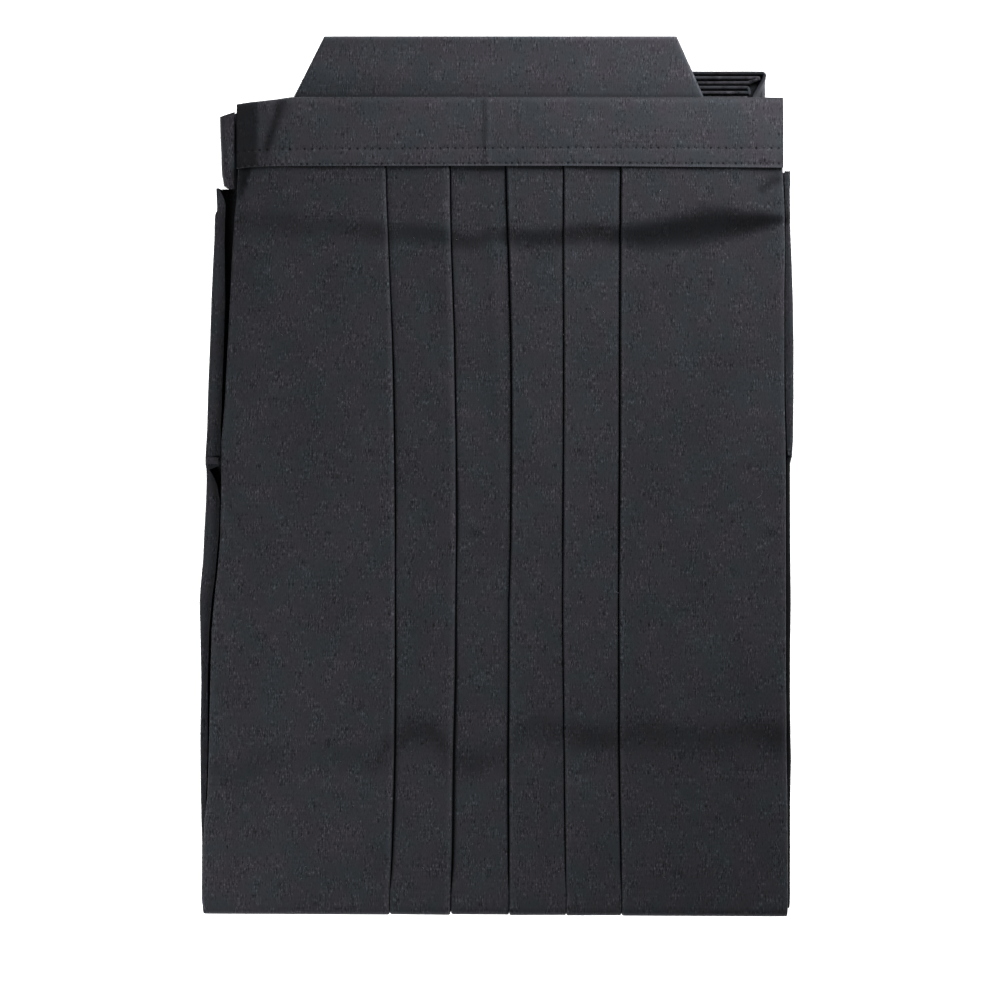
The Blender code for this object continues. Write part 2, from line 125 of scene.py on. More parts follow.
@dataclass(frozen=True)
class BlackCotton:
    """Plain-weave cotton dyed black, pressed: matte, a little slubby, faintly dusty in raking light.

    The real threads lie about 0.4 mm apart, finer than a pixel of the render, so the weave is drawn
    as uneven threads 0.75 mm wide, longer along the warp than along the weft.
    """

    name: str
    warm_shade: str = "#29272b"
    cool_shade: str = "#25282b"
    roughness: float = 0.88
    sheen: float = 0.06
    thread: float = 0.75
    slub: float = 7.0
    contrast: float = 3.4
    fleck: float = 0.85
    bump: float = 0.35
    # gain of the painted light and shade, which also holds some rubbing
    wear_and_painted_light_gain: float = 1.05
    # painted brightness: this copy of the cloth made lighter or darker for the light that falls on its
    # piece
    painted_brightness: float = 1.0
    stitch_rows: tuple[tuple[float, float], ...] = ()

    def build(self) -> bpy.types.Material:
        """Make the material. It reads the cloth's UV in millimetres and its attribute of rubbing and
        painted light and shade.

        The tone is the weave's spread times its clumps, with slow patches, pale flecks and dark
        pits, less the shade painted in the needle holes. One more than that is multiplied by one
        plus the painted light and shade, with some rubbing, and by this copy's painted brightness.
        """
        material = bpy.data.materials.new(self.name)
        material.use_nodes = True
        tree = material.node_tree
        shader = tree.nodes["Principled BSDF"]
        cloth = add_node(tree, "UVMap", uv_map="cloth").outputs["UV"]
        at = {"wear_and_painted_light": add_node(tree, "Attribute", attribute_name="wear_and_painted_light").outputs["Fac"]}
        # result, scale across and along in 1/mm, detail
        patterns = [
            ("warp", 1 / self.thread, 1 / self.slub, 3.0),
            ("weft", 0.45 / self.slub, 0.8 / self.thread, 2.0),
            ("grain", 1.25 / self.thread, 0.38 / self.thread, 1.0),
            ("patches", 0.035, 0.022, 3.0), ("clumps", 0.13, 0.10, 2.0), ("drift", 0.06, 0.05, 2.0)]
        # result, noise, its ends, what they become
        ranges = [
            ("clumps", "clumps", 0.43, 0.59, 0.30, 1.75), ("pale", "grain", 0.60, 0.72, 0.0, self.fleck),
            ("pit", "grain", 0.36, 0.28, 0.0, 0.45), ("drift", "drift", 0.38, 0.62, 0.0, 1.0)]
        # result, operation, inputs
        steps = [
            ("warp", "MULTIPLY", "warp", 0.50), ("weft", "MULTIPLY", "weft", 0.16),
            ("weave", "ADD", "warp", "weft"), ("fine", "MULTIPLY", "grain", 0.34),
            ("weave", "ADD", "weave", "fine"), ("tone", "SUBTRACT", "weave", 0.5),
            ("tone", "MULTIPLY", "tone", self.contrast), ("tone", "MULTIPLY", "tone", "clumps"),
            ("patches", "SUBTRACT", "patches", 0.5), ("patches", "MULTIPLY", "patches", 0.45),
            ("tone", "ADD", "tone", "patches"), ("pale", "MULTIPLY", "pale", "clumps"),
            ("tone", "ADD", "tone", "pale"), ("tone", "SUBTRACT", "tone", "pit")]
        if self.stitch_rows:
            patterns.append(("pull", 0.22, 0.05, 1.0))
            ranges.append(("pull", "pull", 0.36, 0.56, 0.35, 1.0))
        for number, (row, pitch) in enumerate(self.stitch_rows):
            at[f"hole_{number}"] = self.needle_holes(tree, cloth, row, pitch)
            # shade painted in each needle hole, which is also sunk in the relief
            steps += [
                ("hole", "MULTIPLY", f"hole_{number}", "pull"), ("dark", "MULTIPLY", "hole", 0.85),
                ("tone", "SUBTRACT", "tone", "dark"), ("sunk", "MULTIPLY", "hole", 1.5),
                ("relief", "SUBTRACT", "relief" if number else "weave", "sunk")]
        # one plus the painted light and shade, with some rubbing, scales the tone, then this copy's
        # painted brightness
        steps += [
            ("tone", "ADD", "tone", 1.0), ("wear_and_painted_light_factor", "MULTIPLY_ADD", "wear_and_painted_light", self.wear_and_painted_light_gain, 1.0),
            ("tone", "MULTIPLY", "tone", "wear_and_painted_light_factor"), ("tone", "MAXIMUM", "tone", 0.08),
            ("tone", "MULTIPLY", "tone", self.painted_brightness)]
        for name, across, along, detail in patterns:
            at[name] = self.threads(tree, cloth, (across, along, 0.0), detail)
        for name, source, *ends in ranges:
            at[name] = add_node(tree, "MapRange", {0: at[source], **dict(enumerate(ends, 1))}).outputs[0]
        for name, how, *inputs in steps:
            links = {place: at.get(value, value) for place, value in enumerate(inputs)}
            at[name] = add_node(tree, "Math", links, operation=how).outputs[0]
        dye = add_node(tree, "Mix", {"Factor": at["drift"], 6: linear(self.cool_shade),
                                     7: linear(self.warm_shade)}, data_type="RGBA").outputs[2]
        colour = add_node(tree, "VectorMath", {0: dye, "Scale": at["tone"]},
                          operation="SCALE").outputs[0]
        tree.links.new(colour, shader.inputs["Base Color"])
        relief = add_node(tree, "Bump", {"Height": at.get("relief", at["weave"]),
                                         "Strength": self.bump, "Distance": 0.25 * MM})
        tree.links.new(relief.outputs["Normal"], shader.inputs["Normal"])
        for name, value in (("Roughness", self.roughness), ("Specular IOR Level", 0.22),
                            ("Sheen Weight", self.sheen), ("Sheen Roughness", 0.45),
                            ("Sheen Tint", linear("#e2e6f4")), ("Specular Tint", linear("#e2e6f4"))):
            shader.inputs[name].default_value = value
        return material

    @staticmethod
    def threads(tree: bpy.types.NodeTree, cloth: bpy.types.NodeSocket,
                scale: tuple[float, float, float], detail: float) -> bpy.types.NodeSocket:
        """Return noise on the cloth's own millimetres, stretched along the threads."""
        place = add_node(tree, "Mapping", {"Vector": cloth, "Scale": scale}).outputs[0]
        return add_node(tree, "TexNoise", {"Vector": place, "Scale": 1.0, "Detail": detail,
                                           "Roughness": 0.55}).outputs["Fac"]

    @staticmethod
    def needle_holes(tree: bpy.types.NodeTree, cloth: bpy.types.NodeSocket, row: float,
                     pitch: float) -> bpy.types.NodeSocket:
        """Return 1 in each needle hole of a row of stitching, 0 outside: dots along U at V = row."""
        parts = add_node(tree, "SeparateXYZ", {0: cloth}).outputs
        beat = add_node(tree, "Math", {0: parts[0], 1: 1 / pitch}, operation="MULTIPLY").outputs[0]
        beat = add_node(tree, "Math", {0: beat}, operation="FRACT").outputs[0]
        along = add_node(tree, "Math", {0: beat, 1: 0.5}, operation="SUBTRACT").outputs[0]
        along = add_node(tree, "Math", {0: along, 1: pitch}, operation="MULTIPLY").outputs[0]
        across = add_node(tree, "Math", {0: parts[1], 1: row}, operation="SUBTRACT").outputs[0]
        off = add_node(tree, "CombineXYZ", {0: along, 1: across}).outputs[0]
        far = add_node(tree, "VectorMath", {0: off}, operation="LENGTH").outputs["Value"]
        return add_node(tree, "MapRange", {0: far, 1: 0.9, 2: 0.42, 3: 0.0, 4: 1.0}).outputs[0]


# Meshes


def ease(value: Array) -> Array:
    """Return 0 below 0, 1 above 1, and a smooth step between them."""
    held = np.clip(value, 0.0, 1.0)
    return held * held * (3.0 - 2.0 * held)


def column(rows: tuple, place: int, at: Array) -> Array:
    """Return column `place` of a table, read at the values `at` of its first column."""
    table = np.array(rows)
    return np.interp(at, table[:, 0], table[:, place])


def span(start: tuple, end: tuple, count: int) -> Array:
    """Return straight stretches of a section, without their last points.

    Args:
        start: x and depth at the start, each a number or one value for each run.
        end: the same at the end.
        count: the points in each stretch.

    Returns:
        Points [run, point, (x, depth)].
    """
    step = np.linspace(0.0, 1.0, count, endpoint=False)
    return np.stack([np.asarray(a)[..., None] * (1 - step) + np.asarray(b)[..., None] * step
                     for a, b in zip(start, end)], axis=-1)


def dip(start: tuple, end: tuple, count: int) -> Array:
    """Return stretches like `span` whose depth follows a smooth step, beside a pleat's fold."""
    line = span(start, end, count)
    step = np.linspace(0.0, 1.0, count, endpoint=False)
    level = np.asarray(start[1])[..., None] + (np.asarray(end[1]) - np.asarray(start[1]))[
        ..., None] * ease(step)
    line[..., 1] = level
    return line


def hairpin(x: Array, depth_from: Array, depth_to: Array, side: float, count: int = 7) -> Array:
    """Return hairpin folds: half circles at x between two depths, bulging towards `side`.

    Args:
        x: the outermost place of each fold.
        depth_from: the depth where the cloth comes in.
        depth_to: the depth where it leaves.
        side: 1 if the fold points to +X, -1 if to -X.
        count: the points on each half circle.

    Returns:
        Points [run, point, (x, depth)].
    """
    radius = np.abs(depth_to - depth_from)[..., None] / 2
    middle = (depth_from + depth_to)[..., None] / 2
    turn = np.linspace(0.0, math.pi, count)
    towards = np.sign(depth_to - depth_from)[..., None]
    return np.stack([x[..., None] - side * radius + side * radius * np.sin(turn),
                     middle - towards * radius * np.cos(turn)], axis=-1)


def join(parts: list[tuple[Array, float, float]]) -> tuple[Array, Array]:
    """Join stretches of a section into one line.

    Args:
        parts: for each stretch its points [run, point, 2], and the shade painted at its start and at
            its end, from 0, where the light reaches, to 1, mostly by how deep in a fold they lie.

    Returns:
        The line [run, point, 2], and that painted shade for each of its points.
    """
    line = np.concatenate([points for points, _, _ in parts], axis=1)
    inside = [np.linspace(start, end, points.shape[1]) for points, start, end in parts]
    return line, np.concatenate(inside)


def both_faces(line: Array, wall: float | Array) -> Array:
    """Return the two faces of a wall: its middle line moved each way along its normal.

    Args:
        line: points [run, point, 2].
        wall: the wall's thickness.

    Returns:
        Points [run, point, face, 2].
    """
    step = np.gradient(line, axis=1)
    step /= np.linalg.norm(step, axis=-1, keepdims=True)
    normal = np.stack([-step[..., 1], step[..., 0]], axis=-1) * (wall / 2)
    return np.stack([line + normal, line - normal], axis=2)


def arc_length(line: Array) -> Array:
    """Return the way along each line [run, point, 2] from its first point, as [run, point]."""
    steps = np.linalg.norm(np.diff(line, axis=1), axis=-1)
    return np.concatenate([np.zeros((len(line), 1)), np.cumsum(steps, axis=1)], axis=1)


def squared(wave: Array, power: float) -> Array:
    """Return a sine or cosine to a power with its sign kept, which squares off a round arch."""
    return np.sign(wave) * np.abs(wave) ** power


def bend_round(corners: tuple | list, rounds: int, step: float = 0.0, count: int = 0) -> Array:
    """Return a line through corners, rounded by averaging each point with its two neighbours.

    Args:
        corners: the places that it goes through.
        rounds: how often the points are averaged.
        step: the way from point to point, or 0 to give a number of points.
        count: that number.

    Returns:
        Points [point, 2].
    """
    corners = np.array(corners)
    way = arc_length(corners[None])[0]
    fine = np.arange(0.0, way[-1], step) if step else np.linspace(0.0, way[-1], count)
    line = np.stack([np.interp(fine, way, corners[:, place]) for place in (0, 1)], axis=-1)
    for _ in range(rounds):
        line[1:-1] = 0.25 * line[:-2] + 0.5 * line[1:-1] + 0.25 * line[2:]
    return line


def skin(shape: tuple[int, int, int]) -> tuple[Array, Array]:
    """Return the closed skin of a block of points.

    Args:
        shape: the number of points each way.

    Returns:
        The flat numbers of the points used, and quads that count among those.
    """
    number = np.arange(np.prod(shape)).reshape(shape)
    quads = []
    for axis in range(3):
        for end in (0, -1):
            sheet = np.take(number, end, axis=axis)
            quad = np.stack([sheet[:-1, :-1], sheet[1:, :-1], sheet[1:, 1:], sheet[:-1, 1:]],
                            axis=-1).reshape(-1, 4)
            quads.append(quad[:, ::-1] if (end == 0) == (axis != 1) else quad)
    used, compact = np.unique(np.concatenate(quads), return_inverse=True)
    return used, compact.reshape(-1, 4)


def volume(points: Array, quads: Array) -> float:
    """Return the volume inside closed quads, negative if they face inwards."""
    a, b, c, d = (points[quads[:, corner]] for corner in range(4))
    return float((a * np.cross(b, c)).sum() + (a * np.cross(c, d)).sum()) / 6


def link(name: str, data: bpy.types.ID) -> bpy.types.Object:
    """Make an object at the origin from its data, and link it to the scene."""
    thing = bpy.data.objects.new(name, data)
    bpy.context.scene.collection.objects.link(thing)
    return thing


def settle(piece: bpy.types.Object, node: str,
           flat: tuple[float, float] | None = None) -> bpy.types.Object:
    """Say what a piece stands for and, if it is a sheet, its flat size, and report it.

    Args:
        piece: the finished piece.
        node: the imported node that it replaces.
        flat: the sheet's width and length when cut, in millimetres.

    Returns:
        The same piece.
    """
    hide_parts(node)
    if flat:
        LOG.info("%s: cut %.0f x %.0f mm", node, *flat)
    else:
        LOG.info("%s: dressed", node)
    return piece


def cloth_piece(name: str, grid: Array, across: Array, along: Array, wear_and_painted_light: Array,
                material: bpy.types.Material) -> bpy.types.Object:
    """Make a closed piece of cloth from a block of points.

    Args:
        name: the piece's name.
        grid: points [i, j, k, xyz] in millimetres.
        across: the cloth's own place across, in millimetres, for each point of the block.
        along: its own place along, the same.
        wear_and_painted_light: how much lighter (above 0) or darker (below 0) each point is painted, for
            painted highlights and painted shade, with some rubbing.
        material: the finish.

    Returns:
        The object, at the origin.
    """
    used, quads = skin(grid.shape[:3])
    points = grid.reshape(-1, 3)[used] * MM
    if volume(points, quads) < 0:
        quads = quads[:, ::-1]
    mesh = bpy.data.meshes.new(name)
    mesh.vertices.add(len(points))
    mesh.vertices.foreach_set("co", points.ravel())
    mesh.loops.add(quads.size)
    mesh.loops.foreach_set("vertex_index", quads.ravel())
    mesh.polygons.add(len(quads))
    mesh.polygons.foreach_set("loop_start", np.arange(0, quads.size, 4))
    mesh.polygons.foreach_set("loop_total", np.full(len(quads), 4))
    mesh.update(calc_edges=True)
    flat = np.stack([np.broadcast_to(value, grid.shape[:3]).reshape(-1)[used]
                     for value in (across, along)], axis=-1)
    mesh.uv_layers.new(name="cloth").data.foreach_set("uv", flat[quads.ravel()].ravel())
    wear_and_painted_light_layer = mesh.attributes.new("wear_and_painted_light", "FLOAT", "POINT")
    wear_and_painted_light_layer.data.foreach_set("value", np.broadcast_to(wear_and_painted_light, grid.shape[:3]).reshape(-1)[used])
    mesh.shade_smooth()
    mesh.set_sharp_from_angle(angle=math.radians(50))
    mesh.materials.append(material)
    piece = link(name, mesh)
    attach(piece, "root")
    return piece


# The pressed stack


@dataclass(frozen=True)
class Crease:
    """A soft trough or ridge pressed along a route of points (x, y), fading at both ends."""

    route: tuple[tuple[float, float], ...]
    depth: float
    width: float
    fade: float = 12.0
    # the shade painted along the crease, from 0 to 1
    dark: float = 0.0

    def share(self, x: Array, y: Array) -> Array:
        """Return how much of the crease is at (x, y), from 0 to 1.

        It is a bell of the distance to the route, whose ends fade over `fade`.

        Args:
            x: places across, in millimetres.
            y: places along, in millimetres.

        Returns:
            The share at each place.
        """
        nearest = np.full(np.broadcast(x, y).shape, 1e9)
        passed = np.zeros(nearest.shape)
        total = 0.0
        for (ax, ay), (bx, by) in zip(self.route, self.route[1:]):
            length = math.hypot(bx - ax, by - ay)
            share = np.clip(((x - ax) * (bx - ax) + (y - ay) * (by - ay)) / length ** 2, 0, 1)
            away = np.hypot(x - ax - share * (bx - ax), y - ay - share * (by - ay))
            closer = away < nearest
            nearest = np.where(closer, away, nearest)
            passed = np.where(closer, total + share * length, passed)
            total += length
        ends = ease(passed / self.fade + 0.15) * ease((total - passed) / self.fade + 0.15)
        return ends * np.exp(-(nearest / self.width) ** 2)


@dataclass
class PressedStack:
    """The folded stack that all the panels follow: its levels, its fold and its creases."""

    band_foot: float = 165.0
    fold_y: float = -235.1
    fold_skew: float = 1.5
    fold_height: float = 24.0
    fold_squareness: float = 6.0
    waist_height: float = 26.0
    hem_y: float = 152.0
    half_width: float = 159.0
    layer_depth: float = 5.0
    sag_length: float = 55.0
    low_crease_above: float = 8.0
    low_crease_below: float = 38.0
    # x, y, drop, sag, width, the shade painted along it there
    waist_crease: tuple = (
        (-160.0, 137.5, 1.6, 0.0, 12.0, 0.23),
        (-128.5, 136.3, 1.7, 0.0, 13.0, 0.18),
        (-112.5, 134.2, 1.8, 0.0, 13.0, 0.13),
        (-93.9, 133.2, 1.8, 0.0, 13.0, 0.13),
        (-72.6, 132.1, 1.9, 0.0, 12.0, 0.16),
        (-64.6, 130.5, 1.9, 0.0, 11.0, 0.34),
        (-46.0, 130.0, 1.9, 0.1, 11.0, 0.29),
        (-32.7, 129.0, 1.9, 0.1, 11.0, 0.34),
        (-14.1, 125.5, 1.8, 0.1, 9.0, 0.34),
        (-0.8, 129.4, 1.2, 0.1, 9.0, 0.24),
        (12.0, 127.5, 2.2, 0.3, 10.0, 0.39),
        (20.5, 126.8, 2.4, 0.3, 10.0, 0.46),
        (35.0, 128.5, 2.4, 0.4, 10.0, 0.46),
        (49.8, 130.5, 2.6, 0.5, 10.5, 0.46),
        (64.0, 129.5, 2.8, 0.6, 11.0, 0.50),
        (79.1, 129.6, 3.4, 0.7, 14.0, 0.66),
        (92.4, 131.6, 3.9, 0.9, 16.0, 0.68),
        (108.4, 133.9, 4.3, 0.9, 18.0, 0.68),
        (121.7, 135.1, 4.3, 0.9, 17.0, 0.68),
        (132.3, 135.0, 4.1, 0.8, 13.0, 0.68),
        (141.4, 136.2, 3.5, 0.7, 9.5, 0.66),
        (147.8, 136.6, 2.8, 0.6, 6.0, 0.58),
        (151.5, 136.8, 2.4, 0.6, 5.0, 0.38),
        (160.0, 137.0, 2.2, 0.5, 5.0, 0.05),
    )
    # x, y, dip, the shade painted along it there
    low_crease: tuple = (
        (-160.0, -152.0, 0.5, 0.20),
        (-139.0, -160.0, 0.4, 0.18),
        (-123.0, -151.0, 0.6, 0.18),
        (-104.6, -151.0, 0.5, 0.12),
        (-83.0, -150.5, 0.5, 0.14),
        (-64.6, -152.7, 0.9, 0.30),
        (-57.0, -146.0, 1.0, 0.38),
        (-48.0, -137.0, 1.2, 0.49),
        (-34.0, -137.0, 1.1, 0.45),
        (-24.0, -150.0, 0.7, 0.28),
        (-14.0, -154.3, 1.0, 0.41),
        (5.0, -150.0, 0.5, 0.23),
        (12.0, -137.0, 0.8, 0.25),
        (20.5, -134.5, 0.8, 0.29),
        (35.0, -138.0, 1.0, 0.37),
        (49.8, -141.0, 1.5, 0.53),
        (62.0, -141.0, 1.2, 0.38),
        (79.0, -138.5, 1.2, 0.28),
        (108.4, -142.5, 1.1, 0.26),
        (132.3, -137.5, 1.2, 0.28),
        (147.8, -141.5, 1.8, 0.40),
        (160.0, -142.0, 1.6, 0.28),
    )
    creases: tuple[Crease, ...] = (
        # the hidden tie's edge and its rounded end show through
        Crease(((-3.5, 168.0), (-0.8, 94.3), (0.8, 40.8), (2.5, -60.0)), -0.40, 2.6, 70.0),
        Crease(((-36.6, 104.0), (-35.8, 73.0), (-30.2, 57.0), (-16.9, 49.9), (0.3, 62.0)),
               0.32, 2.6, 18.0),
        Crease(((-24.0, 108.0), (-18.0, 60.0)), -0.22, 8.0, 20.0),
        # small diagonal wrinkle under the band's left end, with shade painted along it, and the fold's
        # raised side
        Crease(((153.0, 158.0), (147.0, 156.6), (142.3, 153.6), (139.3, 149.6)), 0.5, 2.2, 3.0, 0.60),
        Crease(((152.0, 148.6), (146.6, 147.6)), -0.4, 3.0, 5.0),
        Crease(((152.0, 137.0), (140.0, 126.0), (128.0, 115.0)), -0.55, 4.0, 12.0),
        # turned corner of the cloth under the band's right end, with shade painted over it
        Crease(((-137.0, 160.0), (-136.8, 150.0)), 0.6, 3.4, 5.0, 0.30),
        # wrinkle drawn in by the right slit's stop
        Crease(((-148.0, -10.0), (-137.2, -31.4), (-122.0, -45.5)), 0.55, 3.2, 14.0),
        # turned corner of the lower layer, at the right leg's fold
        Crease(((-156.0, -154.0), (-144.0, -176.0), (-139.5, -196.0), (-141.5, -224.0)),
               -0.55, 4.5, 20.0),
        Crease(((-151.0, -156.0), (-140.0, -173.0)), 0.7, 3.0, 8.0),
        # faint pressed marks lower down
        Crease(((76.8, -87.6), (91.8, -74.2), (108.9, -71.5)), 0.30, 4.0, 14.0),
        Crease(((36.5, -161.6), (52.0, -158.0)), 0.75, 2.4, 6.0),
        Crease(((-46.3, -144.0), (-30.2, -114.3)), 0.35, 6.0, 10.0),
        Crease(((-54.3, -192.0), (-36.0, -184.0)), -0.30, 4.0, 8.0),
        Crease(((9.0, -118.0), (33.0, -104.0)), 0.25, 5.0, 10.0),
        Crease(((95.0, -128.0), (150.0, -116.0)), 0.35, 9.0, 20.0),
        Crease(((-150.0, 12.0), (-147.0, -16.0)), 0.5, 5.0, 8.0),
    )
    wave_seed: int = 11
    wave_height: float = 0.11

    def __post_init__(self) -> None:
        """Work out the places along the run from the sizes."""
        self.half_height = self.fold_height / 2
        self.fold_start_y = self.fold_y + self.half_height + self.fold_skew
        self.fold_start = self.band_foot - self.fold_start_y
        self.fold_length = math.pi * self.half_height
        self.under_start = self.fold_start + self.fold_length
        self.hem = self.under_start + self.hem_y - self.fold_start_y

    def waves(self, x: Array, y: Array) -> Array:
        """Return the cloth's faint unevenness: a sum of slow waves in random directions."""
        draw = np.random.default_rng(self.wave_seed)
        total = np.zeros(np.broadcast(x, y).shape)
        for _ in range(9):
            length = draw.uniform(26.0, 95.0)
            turn = draw.uniform(0.0, math.pi)
            phase = draw.uniform(0.0, 2 * math.pi)
            total += np.sin((x * math.cos(turn) + y * math.sin(turn)) * 2 * math.pi / length
                            + phase)
        return total * self.wave_height / 2

    def height(self, x: Array, y: Array) -> Array:
        """Return the height of the front's upper face.

        It is the waist's level, let down by the waist crease to the fold's level, less the low
        crease and each small crease, with faint waves that stop short of the fold.

        Args:
            x: places across, in millimetres.
            y: places along, in millimetres.

        Returns:
            The height above the floor, in millimetres.
        """
        crease_y, drop, sag, width = (column(self.waist_crease, place, x) for place in range(1, 5))
        settled = self.waist_height - drop
        flat = self.fold_height - sag * np.exp(-((y - crease_y) / self.sag_length) ** 2)
        after = settled + (flat - settled) * ease((crease_y - y) / self.sag_length)
        past = (crease_y - y) / width + 0.5
        level = self.waist_height + (after - self.waist_height) * ease(past)
        level = level - column(BAND_ROWS, 3, x) * ease((y - 128.0) / 30.0)
        low_y, low_dip = (column(self.low_crease, place, x) for place in (1, 2))
        reach = np.where(y > low_y, self.low_crease_above, self.low_crease_below)
        level = level - low_dip * np.exp(-((y - low_y) / reach) ** 2)
        calm = ease((y - self.fold_start_y) / 12.0) * ease((174.0 - y) / 10.0)
        pressed = sum(crease.depth * crease.share(x, y) for crease in self.creases)
        return level - calm * (pressed + self.waves(x, y))

    def painted_shade(self, x: Array, y: Array) -> Array:
        """Return the shade painted on the cloth along its creases, from 0 to 1.

        It is a flat-topped bell along the waist crease, a bell along the low one, each small crease's
        share, and more painted shade across the left front's outer strips, on the turned corner
        under the band's right end and along the right slit's hem.

        Args:
            x: places across, in millimetres.
            y: places along, in millimetres.

        Returns:
            The darkening at each place.
        """
        crease_y, width, dark = (column(self.waist_crease, place, x) for place in (1, 4, 5))
        lag = 1.0 + 1.2 * ease((x - 50.0) / 15.0) * ease((115.0 - x) / 12.0)
        total = dark * np.exp(-((y - crease_y + lag) / (0.56 * width)) ** 4)
        low_y, low_dark = (column(self.low_crease, place, x) for place in (1, 3))
        total = total + low_dark * np.exp(-((y - low_y) / 7.5) ** 2)
        total = total + sum(crease.dark * crease.share(x, y) for crease in self.creases)
        # painted shade in three broad bands across the left front's outer strips
        painted_band_shade = 0.10 * np.exp(-((y - 95.0) / 42.0) ** 2) + 0.08 * np.exp(-((y - 10.0) / 40.0) ** 2)
        painted_band_shade = painted_band_shade + 0.10 * np.exp(-((y + 150.0) / 45.0) ** 2)
        total = total + painted_band_shade * ease((x - 58.0) / 20.0)
        # painted shade on the turned corner under the band's right end, and along the right slit's hem
        corner = ease((-130.3 - 0.34 * (161.0 - y) - x) / 1.2) * ease((y - 146.0) / 3.0)
        hem = np.exp(-np.clip(x + 140.0 - 0.06 * (y - 165.0), 0.0, None) / 3.5) * ease(
            (y - 20.0) / 90.0)
        return np.clip(total + 0.84 * corner + 0.40 * hem * (1 - corner), 0.0, 0.85)

    def lay(self, x: Array, depth: Array, run: Array) -> Array:
        """Lay a section's places on the upper half, round the fold, or on the underside.

        The fold is a squared arch, |out| and |up| to the power of its squareness adding up to one.

        Args:
            x: places across [run, ...].
            depth: depths below the outer face [run, ...].
            run: the way along the cloth, one value for each row, shaped to match.

        Returns:
            Points [run, ..., xyz] in millimetres.
        """
        skew = self.fold_skew * (0.5 - x / (2 * self.half_width)) - self.fold_skew
        run = np.broadcast_to(run, x.shape)
        y_top = self.band_foot - run + ease((run - self.fold_start + 60.0) / 60.0) * skew
        top = self.height(x, np.maximum(y_top, self.fold_start_y - 1.0))
        deep = np.clip(depth - self.layer_depth, 0.0, None)
        squeeze = (top - self.layer_depth - self.half_height) / (
            self.half_height - self.layer_depth)
        z_top = top - np.minimum(depth, self.layer_depth) - deep * squeeze
        angle = np.clip((run - self.fold_start) / self.fold_length, 0.0, 1.0) * math.pi
        power = 2.0 / self.fold_squareness
        radius = self.half_height - depth
        y_fold = self.fold_start_y + skew - radius * np.sin(angle) ** power
        z_fold = self.half_height + radius * squared(np.cos(angle), power)
        y_under = self.fold_start_y + (run - self.under_start) + skew
        on_top, under = run <= self.fold_start, run >= self.under_start
        y = np.where(on_top, y_top, np.where(under, y_under, y_fold))
        z = np.where(on_top, z_top, np.where(under, depth, z_fold))
        return np.stack([x, y, z], axis=-1)

    def runs(self, start: float, end: float, step: float, fold: int, under: int) -> Array:
        """Return the runs of the sections: close together on top, then round the fold and under."""
        top = np.arange(start, self.fold_start - step / 2, step)
        bend = self.fold_start + self.fold_length * np.linspace(0, 1, fold + 1)[:-1]
        below = np.linspace(self.under_start, end, under)
        return np.concatenate([top, bend, below])


# Front band, one row for each section across it: x, foot, top, drop
BAND_ROWS = (
    (-138.3, 163.6, 198.2, 1.8),
    (-131.0, 164.4, 199.3, 1.3),
    (-120.0, 164.9, 200.4, 0.6),
    (-108.9, 165.0, 201.8, 0.1),
    (-60.0, 165.0, 201.9, 0.0),
    (40.0, 165.0, 201.9, 0.0),
    (152.5, 164.0, 201.6, 0.0),
)


